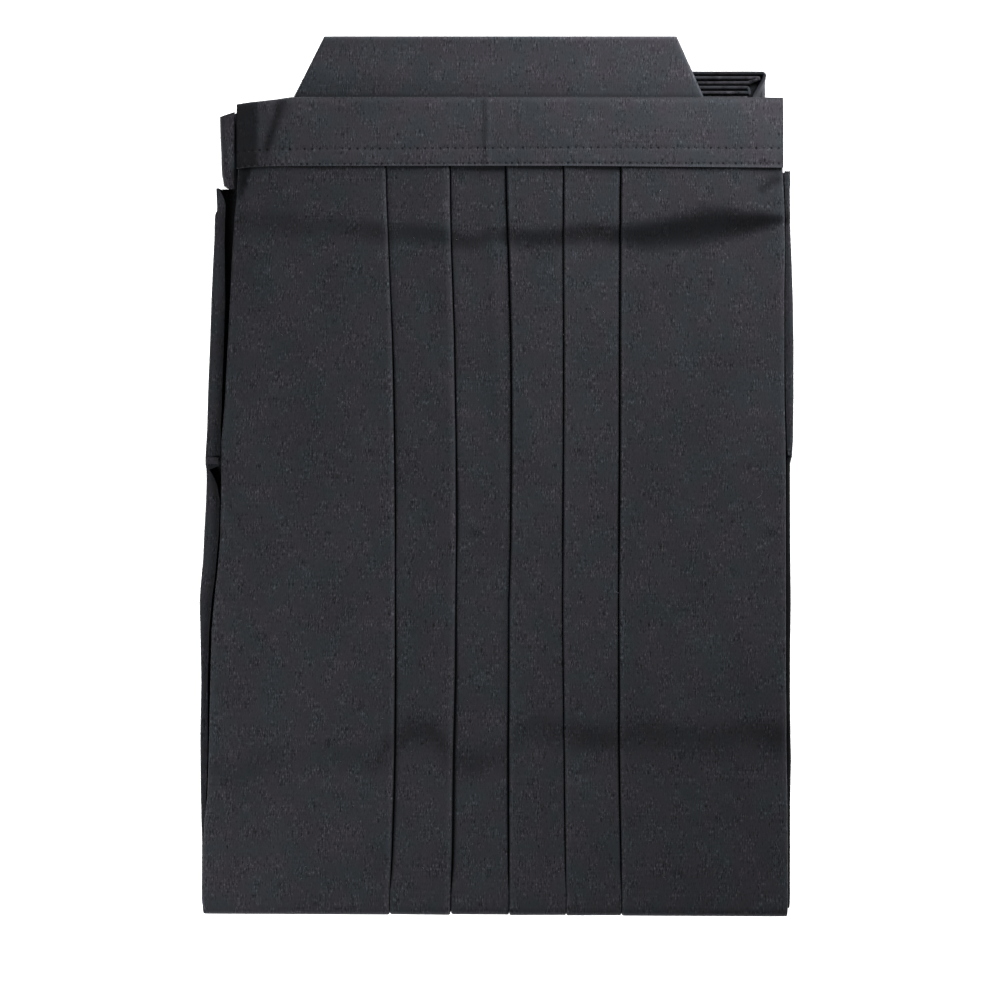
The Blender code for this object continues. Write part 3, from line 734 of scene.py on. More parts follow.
@dataclass
class FrontPanels:
    """Both pleated front panels, each one continuous wall of cloth with its knife pleats."""

    stack: PressedStack
    wall: float = 0.9
    pitch: float = 1.3
    hem_turn: float = 12.0
    pleat_depth: float = 22.0
    # run, right edge, pleats 1 to 5, left edge, step
    rows: tuple = (
        (-11.0, -136.8, -59.5, -25.4, 5.6, 36.5, 67.2, 151.2, 0.8),
        (17.0, -137.7, -59.1, -25.2, 6.1, 36.3, 66.7, 152.6, 0.9),
        (25.0, -138.7, -58.7, -25.1, 6.4, 36.3, 66.7, 152.9, 0.9),
        (42.0, -140.0, -58.1, -24.8, 7.1, 36.2, 66.7, 153.3, 0.9),
        (66.0, -141.2, -57.2, -24.0, 7.8, 36.3, 66.6, 152.9, 1.0),
        (90.0, -142.3, -56.2, -23.2, 8.5, 36.5, 66.5, 152.9, 1.0),
        (111.0, -143.5, -55.7, -22.9, 8.7, 36.5, 66.5, 152.9, 1.0),
        (128.0, -144.3, -55.4, -22.6, 8.8, 36.5, 66.5, 153.0, 1.0),
        (146.0, -146.0, -55.1, -22.3, 8.8, 36.4, 66.5, 153.5, 1.0),
        (175.0, -146.2, -54.8, -22.2, 8.6, 36.3, 66.3, 153.6, 1.0),
        (199.0, -146.7, -54.6, -22.1, 8.4, 36.2, 66.2, 153.7, 1.0),
        (212.0, -147.8, -54.6, -22.2, 8.0, 36.1, 66.0, 153.7, 1.0),
        (231.0, -149.8, -54.6, -22.4, 7.4, 35.9, 65.8, 153.7, 1.0),
        (247.0, -151.2, -54.6, -22.5, 7.4, 36.0, 65.9, 153.7, 1.0),
        (270.0, -151.8, -54.6, -22.7, 7.4, 36.3, 66.1, 153.7, 1.0),
        (311.0, -152.7, -55.0, -23.7, 7.2, 36.8, 66.2, 154.1, 0.9),
        (335.0, -153.5, -55.5, -24.0, 7.3, 37.0, 66.5, 154.5, 0.8),
        (348.0, -155.0, -55.9, -24.1, 7.3, 37.2, 66.7, 154.6, 0.7),
        (365.0, -155.8, -56.4, -24.3, 7.4, 37.4, 67.1, 154.7, 0.6),
        (387.6, -156.1, -57.4, -25.0, 7.3, 37.6, 67.2, 154.8, 0.2),
        (560.0, -155.2, -57.6, -25.1, 7.4, 37.8, 67.4, 154.6, 0.2),
        (640.0, -153.0, -57.8, -25.2, 7.5, 38.0, 67.6, 154.4, 0.2),
        (700.0, -151.2, -58.0, -25.4, 7.6, 38.2, 67.8, 154.2, 0.2),
        (799.0, -146.8, -58.2, -25.6, 7.6, 38.4, 68.0, 154.0, 0.3),
    )
    # run, width of the dark dip beside each pleat
    dips: tuple = (
        (0.0, 1.6, 1.7, 2.0, 1.7, 2.2),
        (71.0, 1.7, 2.0, 2.0, 1.6, 2.2),
        (108.0, 2.6, 2.2, 2.0, 1.8, 2.2),
        (150.0, 2.7, 2.2, 1.9, 1.7, 2.2),
        (175.0, 2.7, 3.2, 1.9, 2.0, 2.4),
        (195.0, 2.4, 2.8, 1.9, 2.0, 2.4),
        (212.0, 1.9, 2.0, 1.7, 1.6, 2.0),
        (236.0, 2.4, 2.2, 1.6, 1.6, 1.8),
        (273.0, 3.0, 3.4, 1.9, 1.6, 2.2),
        (310.0, 3.5, 3.9, 2.4, 1.7, 2.4),
        (350.0, 3.7, 4.0, 2.4, 1.9, 2.2),
        (374.0, 3.0, 3.7, 2.2, 1.7, 2.2),
        (386.0, 1.5, 2.0, 1.4, 1.2, 1.4),
        (432.0, 1.3, 1.6, 1.3, 1.1, 1.3),
        (446.0, 2.2, 3.0, 2.0, 1.7, 2.0),
        (800.0, 2.2, 2.4, 2.0, 1.8, 2.0),
    )

    def build(self, material: bpy.types.Material) -> list[bpy.types.Object]:
        """Make both fronts.

        Args:
            material: the fronts' cloth.

        Returns:
            The right front and the left front.
        """
        run = self.stack.runs(-11.0, self.stack.hem, 2.0, 24, 36)
        at = [column(self.rows, place, run) for place in range(1, 9)]
        gaps = [column(self.dips, place, run) for place in range(1, 6)]
        pieces = []
        for name, (line, inside), folds in (
                ("right_front", self.right_line(at, gaps), (at[0], at[1], at[2])),
                ("left_front", self.left_line(at, gaps), (at[3], at[4], at[5], at[6]))):
            faces = both_faces(line, self.wall)
            grid = self.stack.lay(faces[..., 0], faces[..., 1], run[:, None, None])
            # painted highlight along each pleat's fold edge, with some rubbing there, then painted shade
            # deep in the folds and along the creases
            wear_and_painted_light = 0.6 * sum(np.exp(-((line[..., 0] - fold[:, None]) / 0.9) ** 2) for fold in folds)
            inside = ease(1.6 * inside)
            # shade painted along the creases
            pressed = self.stack.painted_shade(line[..., 0], self.stack.band_foot - run[:, None])
            wear_and_painted_light = np.where(line[..., 1] < 1.0, np.clip(wear_and_painted_light, 0, 1), 0.0) * (1 - inside)
            wear_and_painted_light = wear_and_painted_light - np.maximum(inside, pressed * (run <= self.stack.fold_start)[:, None])
            across = arc_length(line)
            width, length = float(across[:, -1].mean()), float(run[-1] - run[0])
            steps = np.linalg.norm(np.diff(grid[:, :, 0], axis=0), axis=-1).mean(axis=1)
            way = np.concatenate([[0.0], np.cumsum(steps)])
            piece = cloth_piece(name + "_cloth", grid, across[..., None], way[:, None, None],
                                wear_and_painted_light[..., None], material)
            pieces.append(settle(piece, name, (width, length)))
        return pieces

    def right_line(self, at: list[Array], gaps: list[Array]) -> tuple[Array, Array]:
        """Return the right front's middle line: slit hem, strips A to C and the centre seam.

        Args:
            at: the table's columns, one value for each run.
            gaps: the dips' widths, the same.

        Returns:
            Points [run, point, (x, depth)], and the shade painted at each.
        """
        edge, one, two, three, four, _, _, step = at
        layers = [self.wall / 2 + self.pitch * number for number in range(3)]
        first, second, third = (np.full_like(edge, layer) for layer in layers)
        half = self.pitch / 2
        rise = step * self.pleat_depth / (two - one)
        fall = step * self.pleat_depth / (four - three)
        return join([
            (span((edge + 1.0, third), (edge + self.hem_turn - half, third), 4), 0, 0),
            (hairpin(edge + self.hem_turn, third, second, 1), 0, 0),
            (span((edge + self.hem_turn - half - 0.3, second), (edge + half, second), 4), 0, 0),
            (hairpin(edge, second, first, -1), 0.6, 0.1),
            (span((edge + half + 0.3, first), (one - half, first), 48), 0, 0),
            (hairpin(one, first, second, 1), 0, 1),
            (span((one - half - 0.3, second), (one - self.pleat_depth + half, second), 4), 1, 1),
            (hairpin(one - self.pleat_depth, second, third, -1), 1, 1),
            (span((one - self.pleat_depth + half + 0.3, third), (one + 0.2, third), 4), 1, 1),
            (dip((one + 0.2, third), (one + gaps[0], first + step), 7), 1, 0),
            (span((one + gaps[0], first + step), (two - half, first), 12), 0, 0),
            (hairpin(two, first, second, 1), 0, 1),
            (span((two - half - 0.3, second), (two - self.pleat_depth + half, second + rise), 4),
             1, 1),
            (hairpin(two - self.pleat_depth, second + rise, third + rise, -1), 1, 1),
            (span((two - self.pleat_depth + half + 0.3, third + rise), (two + 0.2, third), 4), 1, 1),
            (dip((two + 0.2, third), (two + gaps[1], first + 1.5 * step), 7), 1, 0),
            (span((two + gaps[1], first + 1.5 * step), (three - gaps[2], first + 1.5 * step), 12),
             0, 0),
            (dip((three - gaps[2], first + 1.5 * step), (three - 0.2, third), 7), 0, 1),
            (span((three - 0.2, third), (three + self.pleat_depth - 1.0, third + fall), 5), 1, 1),
        ])

    def left_line(self, at: list[Array], gaps: list[Array]) -> tuple[Array, Array]:
        """Return the left front's middle line: centre seam, strips D to F and the slit hem.

        Args:
            at: the table's columns, one value for each run.
            gaps: the dips' widths, the same.

        Returns:
            Points [run, point, (x, depth)], and the shade painted at each.
        """
        _, _, _, three, four, five, edge, step = at
        layers = [self.wall / 2 + self.pitch * number for number in range(3)]
        first, second, third = (np.full_like(edge, layer) for layer in layers)
        half = self.pitch / 2
        fall = step * self.pleat_depth / (four - three)
        next_fall = step * self.pleat_depth / (five - four)
        return join([
            (span((three + self.pleat_depth - 1.0, second + fall), (three + half, second), 4), 1, 1),
            (hairpin(three, second, first, -1), 1, 0),
            (span((three + half + 0.3, first), (four - gaps[3], first + step), 12), 0, 0),
            (dip((four - gaps[3], first + step), (four - 0.2, third), 7), 0, 1),
            (span((four - 0.2, third), (four + self.pleat_depth - half, third + next_fall), 4),
             1, 1),
            (hairpin(four + self.pleat_depth, third + next_fall, second + next_fall, 1), 1, 1),
            (span((four + self.pleat_depth - half - 0.3, second + next_fall),
                  (four + half, second), 4), 1, 1),
            (hairpin(four, second, first, -1), 1, 0),
            (span((four + half + 0.3, first), (five - gaps[4], first + step), 12), 0, 0),
            (dip((five - gaps[4], first + step), (five - 0.2, third), 7), 0, 1),
            (span((five - 0.2, third), (five + self.pleat_depth - half, third), 4), 1, 1),
            (hairpin(five + self.pleat_depth, third, second, 1), 1, 1),
            (span((five + self.pleat_depth - half - 0.3, second), (five + half, second), 4), 1, 1),
            (hairpin(five, second, first, -1), 1, 0),
            (span((five + half + 0.3, first), (edge - half, first), 48), 0, 0),
            (hairpin(edge, first, second, 1), 0.15, 0.6),
            (span((edge - half - 0.3, second), (edge - self.hem_turn + half, second), 4), 0, 0),
            (hairpin(edge - self.hem_turn, second, third, -1), 0, 0),
            (span((edge - self.hem_turn + half + 0.3, third), (edge - 1.0, third), 5), 0, 0),
        ])


@dataclass
class SlitEdge:
    """A back panel's turned edge at the side slit: an upturned lip over stacked folded layers."""

    stack: PressedStack
    fronts: FrontPanels
    leg: Leg
    # run, outer face, inner end of the lip, the lip's depth
    rows: tuple
    wall: float = 1.0
    seat_depth: float = 11.6
    root: float = 4.0
    # how far each folded edge lies in from the outer face, and how far below the lip
    layers: tuple = ((0.7, 1.2), (0.0, 1.9), (1.1, 2.7), (0.2, 3.5), (1.4, 4.2), (0.1, 5.0),
                     (1.2, 5.8), (0.5, 6.6), (1.5, 7.3), (0.8, 8.0))
    name: str = field(init=False)

    def __post_init__(self) -> None:
        """Name the piece for its leg."""
        self.name = self.leg.name.lower() + "_back"

    def build(self, material: bpy.types.Material) -> bpy.types.Object:
        """Make the edge as one wall swept along the run.

        Args:
            material: the back's cloth.

        Returns:
            The piece.
        """
        side = self.leg.value
        run = self.stack.runs(self.rows[0][0], self.rows[-1][0], 2.0, 18, 30)
        outer, lip, depth = (column(self.rows, place, run) for place in (1, 2, 3))
        front_column = 1 if self.leg is Leg.RIGHT else 7
        root = column(self.fronts.rows, front_column, run) - side * self.root
        half = self.wall / 2
        deepest = self.seat_depth - half
        squeeze = (deepest - depth - half) / (self.layers[-1][1] + 1.0)
        wander = 0.25 * np.sin(run / 13.0) + 0.2 * np.sin(run / 31.0 + 1.0)
        top = depth + half
        corner = outer - side * 0.7
        lip_width = np.abs(corner - lip)
        curl = np.minimum(0.5, lip_width * 0.12)
        parts = [span((lip, top + curl), (corner, top), 6)]
        before = (corner, top)
        for number, (inset, below) in enumerate(self.layers):
            shift = wander * math.sin(1.7 * number + 0.6)
            after = (outer - side * (half + inset + 0.15 * shift), top + below * squeeze)
            parts.append(span(before, after, 3))
            before = after
        foot = (outer - side * 3.4, np.full_like(run, deepest))
        parts.append(span(before, foot, 3))
        parts.append(span(foot, (root, np.full_like(run, deepest)), 4))
        line = np.concatenate(parts, axis=1)
        line[:, 1:-1] = 0.25 * line[:, :-2] + 0.5 * line[:, 1:-1] + 0.25 * line[:, 2:]
        faces = both_faces(line, self.wall)
        grid = self.stack.lay(faces[..., 0], faces[..., 1], run[:, None, None])
        across = arc_length(line)
        # painted highlight on the lip's corner; on the wearer's left, painted shade on the lip below the
        # slit's stop
        wear_and_painted_light = np.zeros_like(across)
        wear_and_painted_light[:, 4:8] = 0.2 if self.leg is Leg.RIGHT else 0.4
        if self.leg is Leg.LEFT:
            wear_and_painted_light[:, :10] -= 0.8 * ease((run - 155.0) / 4.0)[:, None]
        piece = cloth_piece(self.name + "_edge", grid, across[..., None] + 400.0,
                            run[:, None, None], wear_and_painted_light[..., None], material)
        return settle(piece, self.name, (across[:, -1].mean(), run[-1] - run[0]))


# run, outer face, inner end of the lip, the lip's depth
RIGHT_EDGE_ROWS = (
    (11.5, -149.8, -148.0, 3.0),
    (15.0, -149.6, -146.2, 2.8),
    (19.0, -149.4, -144.5, 2.7),
    (23.3, -149.2, -144.4, 2.6),
    (26.0, -150.5, -144.6, 2.5),
    (39.3, -150.8, -145.0, 2.5),
    (71.2, -152.3, -144.6, 2.5),
    (92.5, -153.0, -145.3, 2.5),
    (113.8, -153.9, -146.1, 2.5),
    (140.4, -154.6, -147.0, 2.5),
    (156.4, -155.6, -147.2, 2.6),
    (159.6, -155.4, -148.1, 3.0),
    (161.2, -155.1, -153.4, 3.6),
    (163.9, -155.0, -151.6, 3.3),
    (169.2, -155.0, -149.1, 2.9),
    (177.7, -155.2, -147.6, 2.6),
    (193.7, -156.1, -147.9, 2.5),
    (209.6, -156.8, -149.3, 2.5),
    (220.3, -157.8, -150.3, 2.6),
    (231.0, -158.6, -151.8, 2.7),
    (247.0, -158.3, -153.2, 2.9),
    (275.0, -157.8, -154.1, 3.2),
    (305.0, -158.3, -154.1, 3.4),
    (327.0, -158.2, -154.6, 3.6),
    (348.0, -157.8, -155.5, 4.0),
    (360.0, -157.4, -154.7, 4.2),
    (387.6, -157.6, -153.5, 4.2),
    (560.0, -156.8, -152.7, 4.2),
    (640.0, -154.6, -150.5, 4.2),
    (700.0, -153.0, -148.7, 4.2),
    (796.0, -148.8, -144.1, 4.2),
)
LEFT_EDGE_ROWS = (
    (2.6, 156.9, 153.4, 2.2),
    (9.0, 156.9, 153.4, 1.9),
    (13.0, 156.6, 153.6, 1.8),
    (30.0, 156.9, 154.2, 1.8),
    (45.0, 157.5, 154.2, 1.8),
    (71.0, 158.4, 154.0, 1.8),
    (98.0, 158.8, 154.0, 1.8),
    (124.0, 158.7, 154.2, 1.8),
    (146.0, 158.4, 154.8, 1.9),
    (154.5, 157.9, 154.9, 2.1),
    (158.0, 156.9, 154.8, 3.0),
    (166.0, 156.9, 154.7, 2.6),
    (200.0, 157.0, 154.7, 2.6),
    (231.0, 157.3, 154.8, 2.8),
    (260.0, 157.0, 154.7, 3.2),
    (290.0, 157.0, 154.9, 3.8),
    (316.0, 157.6, 155.2, 4.0),
    (340.0, 157.1, 154.9, 4.2),
    (387.6, 157.0, 153.4, 4.2),
    (640.0, 156.6, 152.6, 4.2),
    (797.0, 156.0, 151.4, 4.2),
)


@dataclass
class FoldedLayers:
    """The hidden layers as one folded slab, whose edges and ends are many cut and folded plies."""

    stack: PressedStack
    fronts: FrontPanels
    plies: int = 7
    first_run: float = 11.8
    seat_depth: float = 11.6
    clear: float = 4.8
    ply_seed: int = 5

    def build(self, material: bpy.types.Material) -> bpy.types.Object:
        """Make the slab: a block of levels whose grooves run round its sides and across its ends.

        Args:
            material: the inner cloth.

        Returns:
            The piece.
        """
        run = self.stack.runs(self.first_run, self.stack.hem - 5.0, 6.0, 18, 24)
        draw = np.random.default_rng(self.ply_seed)
        edges = np.linspace(self.stack.layer_depth, self.seat_depth, self.plies + 1)
        levels, inset = [], []
        for top, foot in zip(edges, edges[1:]):
            out = draw.uniform(0.0, 1.3)
            for share, deep in ((0.04, 1.6), (0.2, 0.35), (0.5, 0.0), (0.8, 0.3), (0.94, 1.5)):
                levels.append(top + share * (foot - top))
                inset.append(out + deep)
        levels, inset = np.array(levels), np.array(inset)
        right = column(self.fronts.rows, 1, run) + self.clear
        left = column(self.fronts.rows, 7, run) - self.clear
        share = np.linspace(0.0, 1.0, 13)[None, :, None]
        x = (right[:, None, None] + inset) * (1 - share) + (left[:, None, None] - inset) * share
        depth = np.broadcast_to(levels, x.shape)
        grid = self.stack.lay(x, depth, run[:, None, None])
        for end in (0, -1):
            ragged = inset + 0.4 * np.sin(share[0] * 9.0 + inset * 5.0)
            grid[end, ..., 1] -= np.clip(ragged, 0.0, None)
        piece = cloth_piece("hidden_layers_cloth", grid, x, run[:, None, None] + 0.0 * x,
                            0.0 * x, material)
        return settle(piece, "hidden_layers")


@dataclass
class FrontBand:
    """The front band: one piece of cloth folded over the pleats' top and stitched along its foot."""

    stack: PressedStack
    wall: float = 1.0
    gap: float = 0.3
    back: float = 19.0
    drawn_height: float = 37.0
    upper_row: float = 9.4
    lower_row: float = 1.3
    climb: float = 1.1
    upper_pitch: float = 4.0
    lower_pitch: float = 3.3

    def front_height(self, x: Array, up: Array) -> Array:
        """Return the band's front height at x, `up` millimetres above its foot.

        It is the pleats' level, drawn in along both stitch rows, puffed between them and the top,
        with a soft vertical ridge, two faint seam marks and the diagonal fold at the right end.

        Args:
            x: places across.
            up: places above the foot.

        Returns:
            Heights of the wall's middle, in millimetres.
        """
        drop = column(BAND_ROWS, 3, x)
        level = self.stack.waist_height + self.gap + self.wall / 2 - drop
        climb = self.rise_of_rows(x)
        pull = np.exp(-((up - self.upper_row - climb) / 1.1) ** 2)
        pull = pull + 0.8 * np.exp(-((up - self.lower_row - climb) / 0.9) ** 2)
        pucker = 0.75 + 0.25 * np.sin(x * 2 * math.pi / self.upper_pitch)
        puff = 0.32 * np.exp(-((up - 22.0) / 9.0) ** 2)
        ridge = 0.35 * np.exp(-((x + 4.6) / 1.6) ** 2)
        marks = 0.14 * np.exp(-((x + 6.6) / 0.6) ** 2) + 0.12 * np.exp(-((x - 11.2) / 0.7) ** 2)
        diagonal = 0.75 * ease((self.fold_line(up) - x) / 4.5 + 0.5) * ease((up - 6.0) / 8.0)
        uneven = 0.08 * np.sin(x / 17.0 + 0.5) + 0.06 * np.sin(x / 7.3 + up / 9.0)
        return level - 0.28 * pull * pucker + puff + ridge - marks - diagonal + uneven

    def rise_of_rows(self, x: Array) -> Array:
        """Return how far the stitch rows have climbed on their way across, from low at the right."""
        return self.climb * (np.clip((x + 105.0) / 214.0, -0.2, 1.2) - 0.5)

    @staticmethod
    def fold_line(up: Array) -> Array:
        """Return where the diagonal fold crosses the band, `up` millimetres above its foot."""
        return -115.6 - (31.0 - up) * 0.32

    def painted_shade(self, x: Array, up: Array) -> Array:
        """Return the shade painted on the band: a bell on the diagonal fold, the end past it, and two
        seam marks.

        Args:
            x: places across.
            up: places above the foot.

        Returns:
            The darkening at each place, from 0 to 1.
        """
        front = ease((up + 1.0) / 2.0) * ease((36.5 - up) / 1.5)
        fold = 0.55 * np.exp(-((x - self.fold_line(up) - 0.8) / 3.1) ** 2) * ease(up / 12.0)
        end = 0.62 * ease((-125.2 - x) / 3.6)
        end = end + 0.25 * ease((-137.8 - x) / 0.8)
        end = end + 0.30 * np.exp(-((x + 7.0) / 0.9) ** 2)
        end = end + 0.32 * np.exp(-((x - 11.2) / 0.6) ** 2) * ease((up - 15.0) / 4.0)
        return front * np.clip(fold + end + 0.12 * ease((-118.0 - x) / 6.0), 0.0, 0.93)

    def build(self, material: bpy.types.Material) -> bpy.types.Object:
        """Make the band as sections up its front, over its top and down its back.

        Args:
            material: the band's cloth.

        Returns:
            The piece.
        """
        x = np.concatenate([np.linspace(BAND_ROWS[0][0], -100.0, 50),
                            np.linspace(-99.0, BAND_ROWS[-1][0], 250)])
        foot, top = column(BAND_ROWS, 1, x), column(BAND_ROWS, 2, x)
        rise = np.concatenate([np.linspace(0.0, 14.0, 29), np.linspace(15.5, 30.5, 11)])
        y = foot[:, None] + rise * (top - foot)[:, None] / self.drawn_height
        z = self.front_height(x[:, None], rise[None, :])
        turn = np.linspace(0.08, 1.0, 12) * math.pi
        near = top - foot - 31.0 * (top - foot) / self.drawn_height - self.wall / 2
        middle = (z[:, -1] + self.back + self.wall / 2 + 0.3) / 2
        half = z[:, -1] - middle
        power = 0.62
        y_turn = (top - near - self.wall / 2)[:, None] + near[:, None] * np.sin(turn) ** power
        z_turn = middle[:, None] + half[:, None] * squared(np.cos(turn), power)
        y_back = np.linspace(1.0, 0.0, 7)[1:] * (top - near - foot - 3.0)[:, None] + (foot + 3.0)[
            :, None]
        z_back = np.broadcast_to((middle - half)[:, None], y_back.shape)
        line = np.stack([np.concatenate([y, y_turn, y_back], axis=1),
                         np.concatenate([z, z_turn, z_back], axis=1)], axis=-1)
        faces = both_faces(line, self.wall)
        across = np.broadcast_to(x[:, None, None], faces.shape[:3])
        grid = np.concatenate([across[..., None], faces], axis=-1)
        up = arc_length(line)
        on_rows = up - self.rise_of_rows(x)[:, None]
        # painted shade along the band's turn over its top and a painted highlight along its foot, both
        # weaker at its right end, less the band's painted shade
        wear_and_painted_light = -np.exp(-((up - 37.5) / 1.4) ** 2) * 0.8 + np.exp(-(up / 0.8) ** 2) * 0.5
        wear_and_painted_light = wear_and_painted_light * (1.0 - 0.8 * ease((-120.0 - x) / 6.0))[:, None] - self.painted_shade(x[:, None], up)
        piece = cloth_piece("front_band_cloth", grid, across, on_rows[..., None], wear_and_painted_light[..., None],
                            material)
        return settle(piece, "front_band", (x[-1] - x[0], up[:, -1].mean()))


@dataclass
class StitchRows:
    """The thread of the band's two rows of stitching: short stitches sunk between needle holes."""

    band: FrontBand
    thickness: float = 0.34
    length: float = 1.5
    first_x: float = -134.0
    last_x: float = 150.5
    seed: int = 3

    def build(self, material: bpy.types.Material) -> bpy.types.Object:
        """Make every stitch as a small capsule, six-sided with rounded ends, in one mesh.

        Args:
            material: the thread's finish.

        Returns:
            The piece.
        """
        draw = np.random.default_rng(self.seed)
        centres, lengths = [], []
        for row, pitch in ((self.band.upper_row, self.band.upper_pitch),
                           (self.band.lower_row, self.band.lower_pitch)):
            x = np.arange(math.ceil(self.first_x / pitch), math.floor(self.last_x / pitch))
            x = x * pitch + draw.normal(0.0, 0.12, len(x))
            up = row + self.band.rise_of_rows(x) + draw.normal(0.0, 0.07, len(x))
            y = column(BAND_ROWS, 1, x) + up * (
                column(BAND_ROWS, 2, x) - column(BAND_ROWS, 1, x)) / self.band.drawn_height
            z = self.band.front_height(x, up) + self.band.wall / 2 + 0.02
            centres.append(np.stack([x, y, z], axis=-1))
            lengths.append(np.full(len(x), self.length) * draw.uniform(0.7, 1.15, len(x)))
        centres, lengths = np.concatenate(centres), np.concatenate(lengths)
        along = np.array([-0.5, -0.42, -0.25, 0.0, 0.25, 0.42, 0.5])
        girth = np.array([0.15, 0.7, 0.95, 1.0, 0.95, 0.7, 0.15]) * self.thickness / 2
        turn = np.linspace(0.0, 2 * math.pi, 6, endpoint=False)
        sag = -0.22 * (2 * along) ** 2
        ring = np.stack([np.broadcast_to(along[:, None], (7, 6)), girth[:, None] * np.cos(turn),
                         girth[:, None] * np.sin(turn) + sag[:, None]], axis=-1)
        points = np.broadcast_to(ring, (len(centres), 7, 6, 3)).copy()
        points[..., 0] *= lengths[:, None, None]
        points += centres[:, None, None, :]
        return tube_piece("band_stitching", points, material)


def tube_piece(name: str, points: Array, material: bpy.types.Material) -> bpy.types.Object:
    """Make many short closed tubes in one mesh.

    Args:
        name: the piece's name.
        points: rings [tube, ring, corner, xyz] in millimetres.
        material: the finish.

    Returns:
        The object.
    """
    tubes, rings, corners = points.shape[:3]
    number = np.arange(rings * corners).reshape(rings, corners)
    after = np.roll(number, -1, axis=1)
    quads = np.stack([number[:-1], after[:-1], after[1:], number[1:]], axis=-1).reshape(-1, 4)
    middle = np.arange(1, corners // 2)
    caps = [np.stack([ring[0 * middle], ring[middle], ring[middle + 1], ring[(middle + 2) % corners]],
                     axis=-1)[::2] for ring in (number[0][::-1], number[-1])]
    faces = np.concatenate([quads, *caps])
    shift = np.arange(tubes)[:, None, None] * rings * corners
    faces = (faces[None] + shift).reshape(-1, 4)
    mesh = bpy.data.meshes.new(name)
    mesh.from_pydata((points.reshape(-1, 3) * MM).tolist(), [], faces.tolist())
    mesh.uv_layers.new(name="cloth")
    mesh.shade_smooth()
    mesh.materials.append(material)
    piece = link(name, mesh)
    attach(piece, "root")
    LOG.info("%s: %d small tubes", name, tubes)
    return piece


@dataclass
class BackBoard:
    """The back board: a stiff trapezoid covered with cloth, its edges rounded by the cover."""

    top_y: float = 235.1
    foot_y: float = 153.6
    top_ends: tuple[float, float] = (-92.0, 96.3)
    foot_ends: tuple[float, float] = (-132.9, 132.5)
    top_height: float = 18.6
    thickness: float = 4.4
    edge: float = 1.7

    def build(self, material: bpy.types.Material) -> bpy.types.Object:
        """Make the board: a grid across and along, thick in the middle and round at its edges.

        Each edge is a quarter ellipse of the board's half thickness over the width `edge`.

        Args:
            material: the board's cloth.

        Returns:
            The piece.
        """
        near = np.array([0.0, 0.06, 0.2, 0.42, 0.7, 1.0]) * self.edge
        across = np.concatenate([near, np.linspace(6.0, 200.0, 40)])
        middle = np.linspace(0.0, 1.0, 70)[1:-1]
        y = np.concatenate([self.foot_y + near, np.linspace(157.0, 232.0, 40),
                            self.top_y - near[::-1]])
        share = (y - self.foot_y) / (self.top_y - self.foot_y)
        right = self.foot_ends[0] + share * (self.top_ends[0] - self.foot_ends[0])
        left = self.foot_ends[1] + share * (self.top_ends[1] - self.foot_ends[1])
        inner_right, inner_left = right + near[-1], left - near[-1]
        x = np.concatenate([right[:, None] + near,
                            inner_right[:, None] + middle * (inner_left - inner_right)[:, None],
                            left[:, None] - near[::-1]], axis=1)
        to_side = np.minimum(x - right[:, None], left[:, None] - x)
        to_end = np.minimum(y - self.foot_y, self.top_y - y)[:, None]
        rounded = [np.sqrt(1 - (1 - np.clip(way / self.edge, 0, 1)) ** 2)
                   for way in (to_side, to_end)]
        half = self.thickness / 2 * np.clip(rounded[0] * rounded[1], 0.06, 1.0)
        swell = 0.10 * np.sin(x / 23.0 + 1.0) * np.sin(y[:, None] / 15.0) * rounded[0]
        centre = self.top_height - self.thickness / 2
        z = np.stack([centre + half - 0.12 + swell, centre - half], axis=-1)
        grid = np.stack([np.broadcast_to(x[..., None], z.shape),
                         np.broadcast_to(y[:, None, None], z.shape), z], axis=-1)
        # painted highlight along the cover's rounded ends and sides, and a painted shadow line just
        # above the band's top
        wear_and_painted_light = 0.35 * np.exp(-((to_end - 1.0) / 1.0) ** 2) + 0.2 * np.exp(
            -((to_side - 1.0) / 1.0) ** 2)
        wear_and_painted_light = wear_and_painted_light - 0.35 * np.exp(-((y - 203.0) / 1.0) ** 2)[:, None]
        piece = cloth_piece("back_board_cloth", grid, grid[..., 0] + 900.0, grid[..., 1],
                            wear_and_painted_light[..., None], material)
        return settle(piece, "back_board")


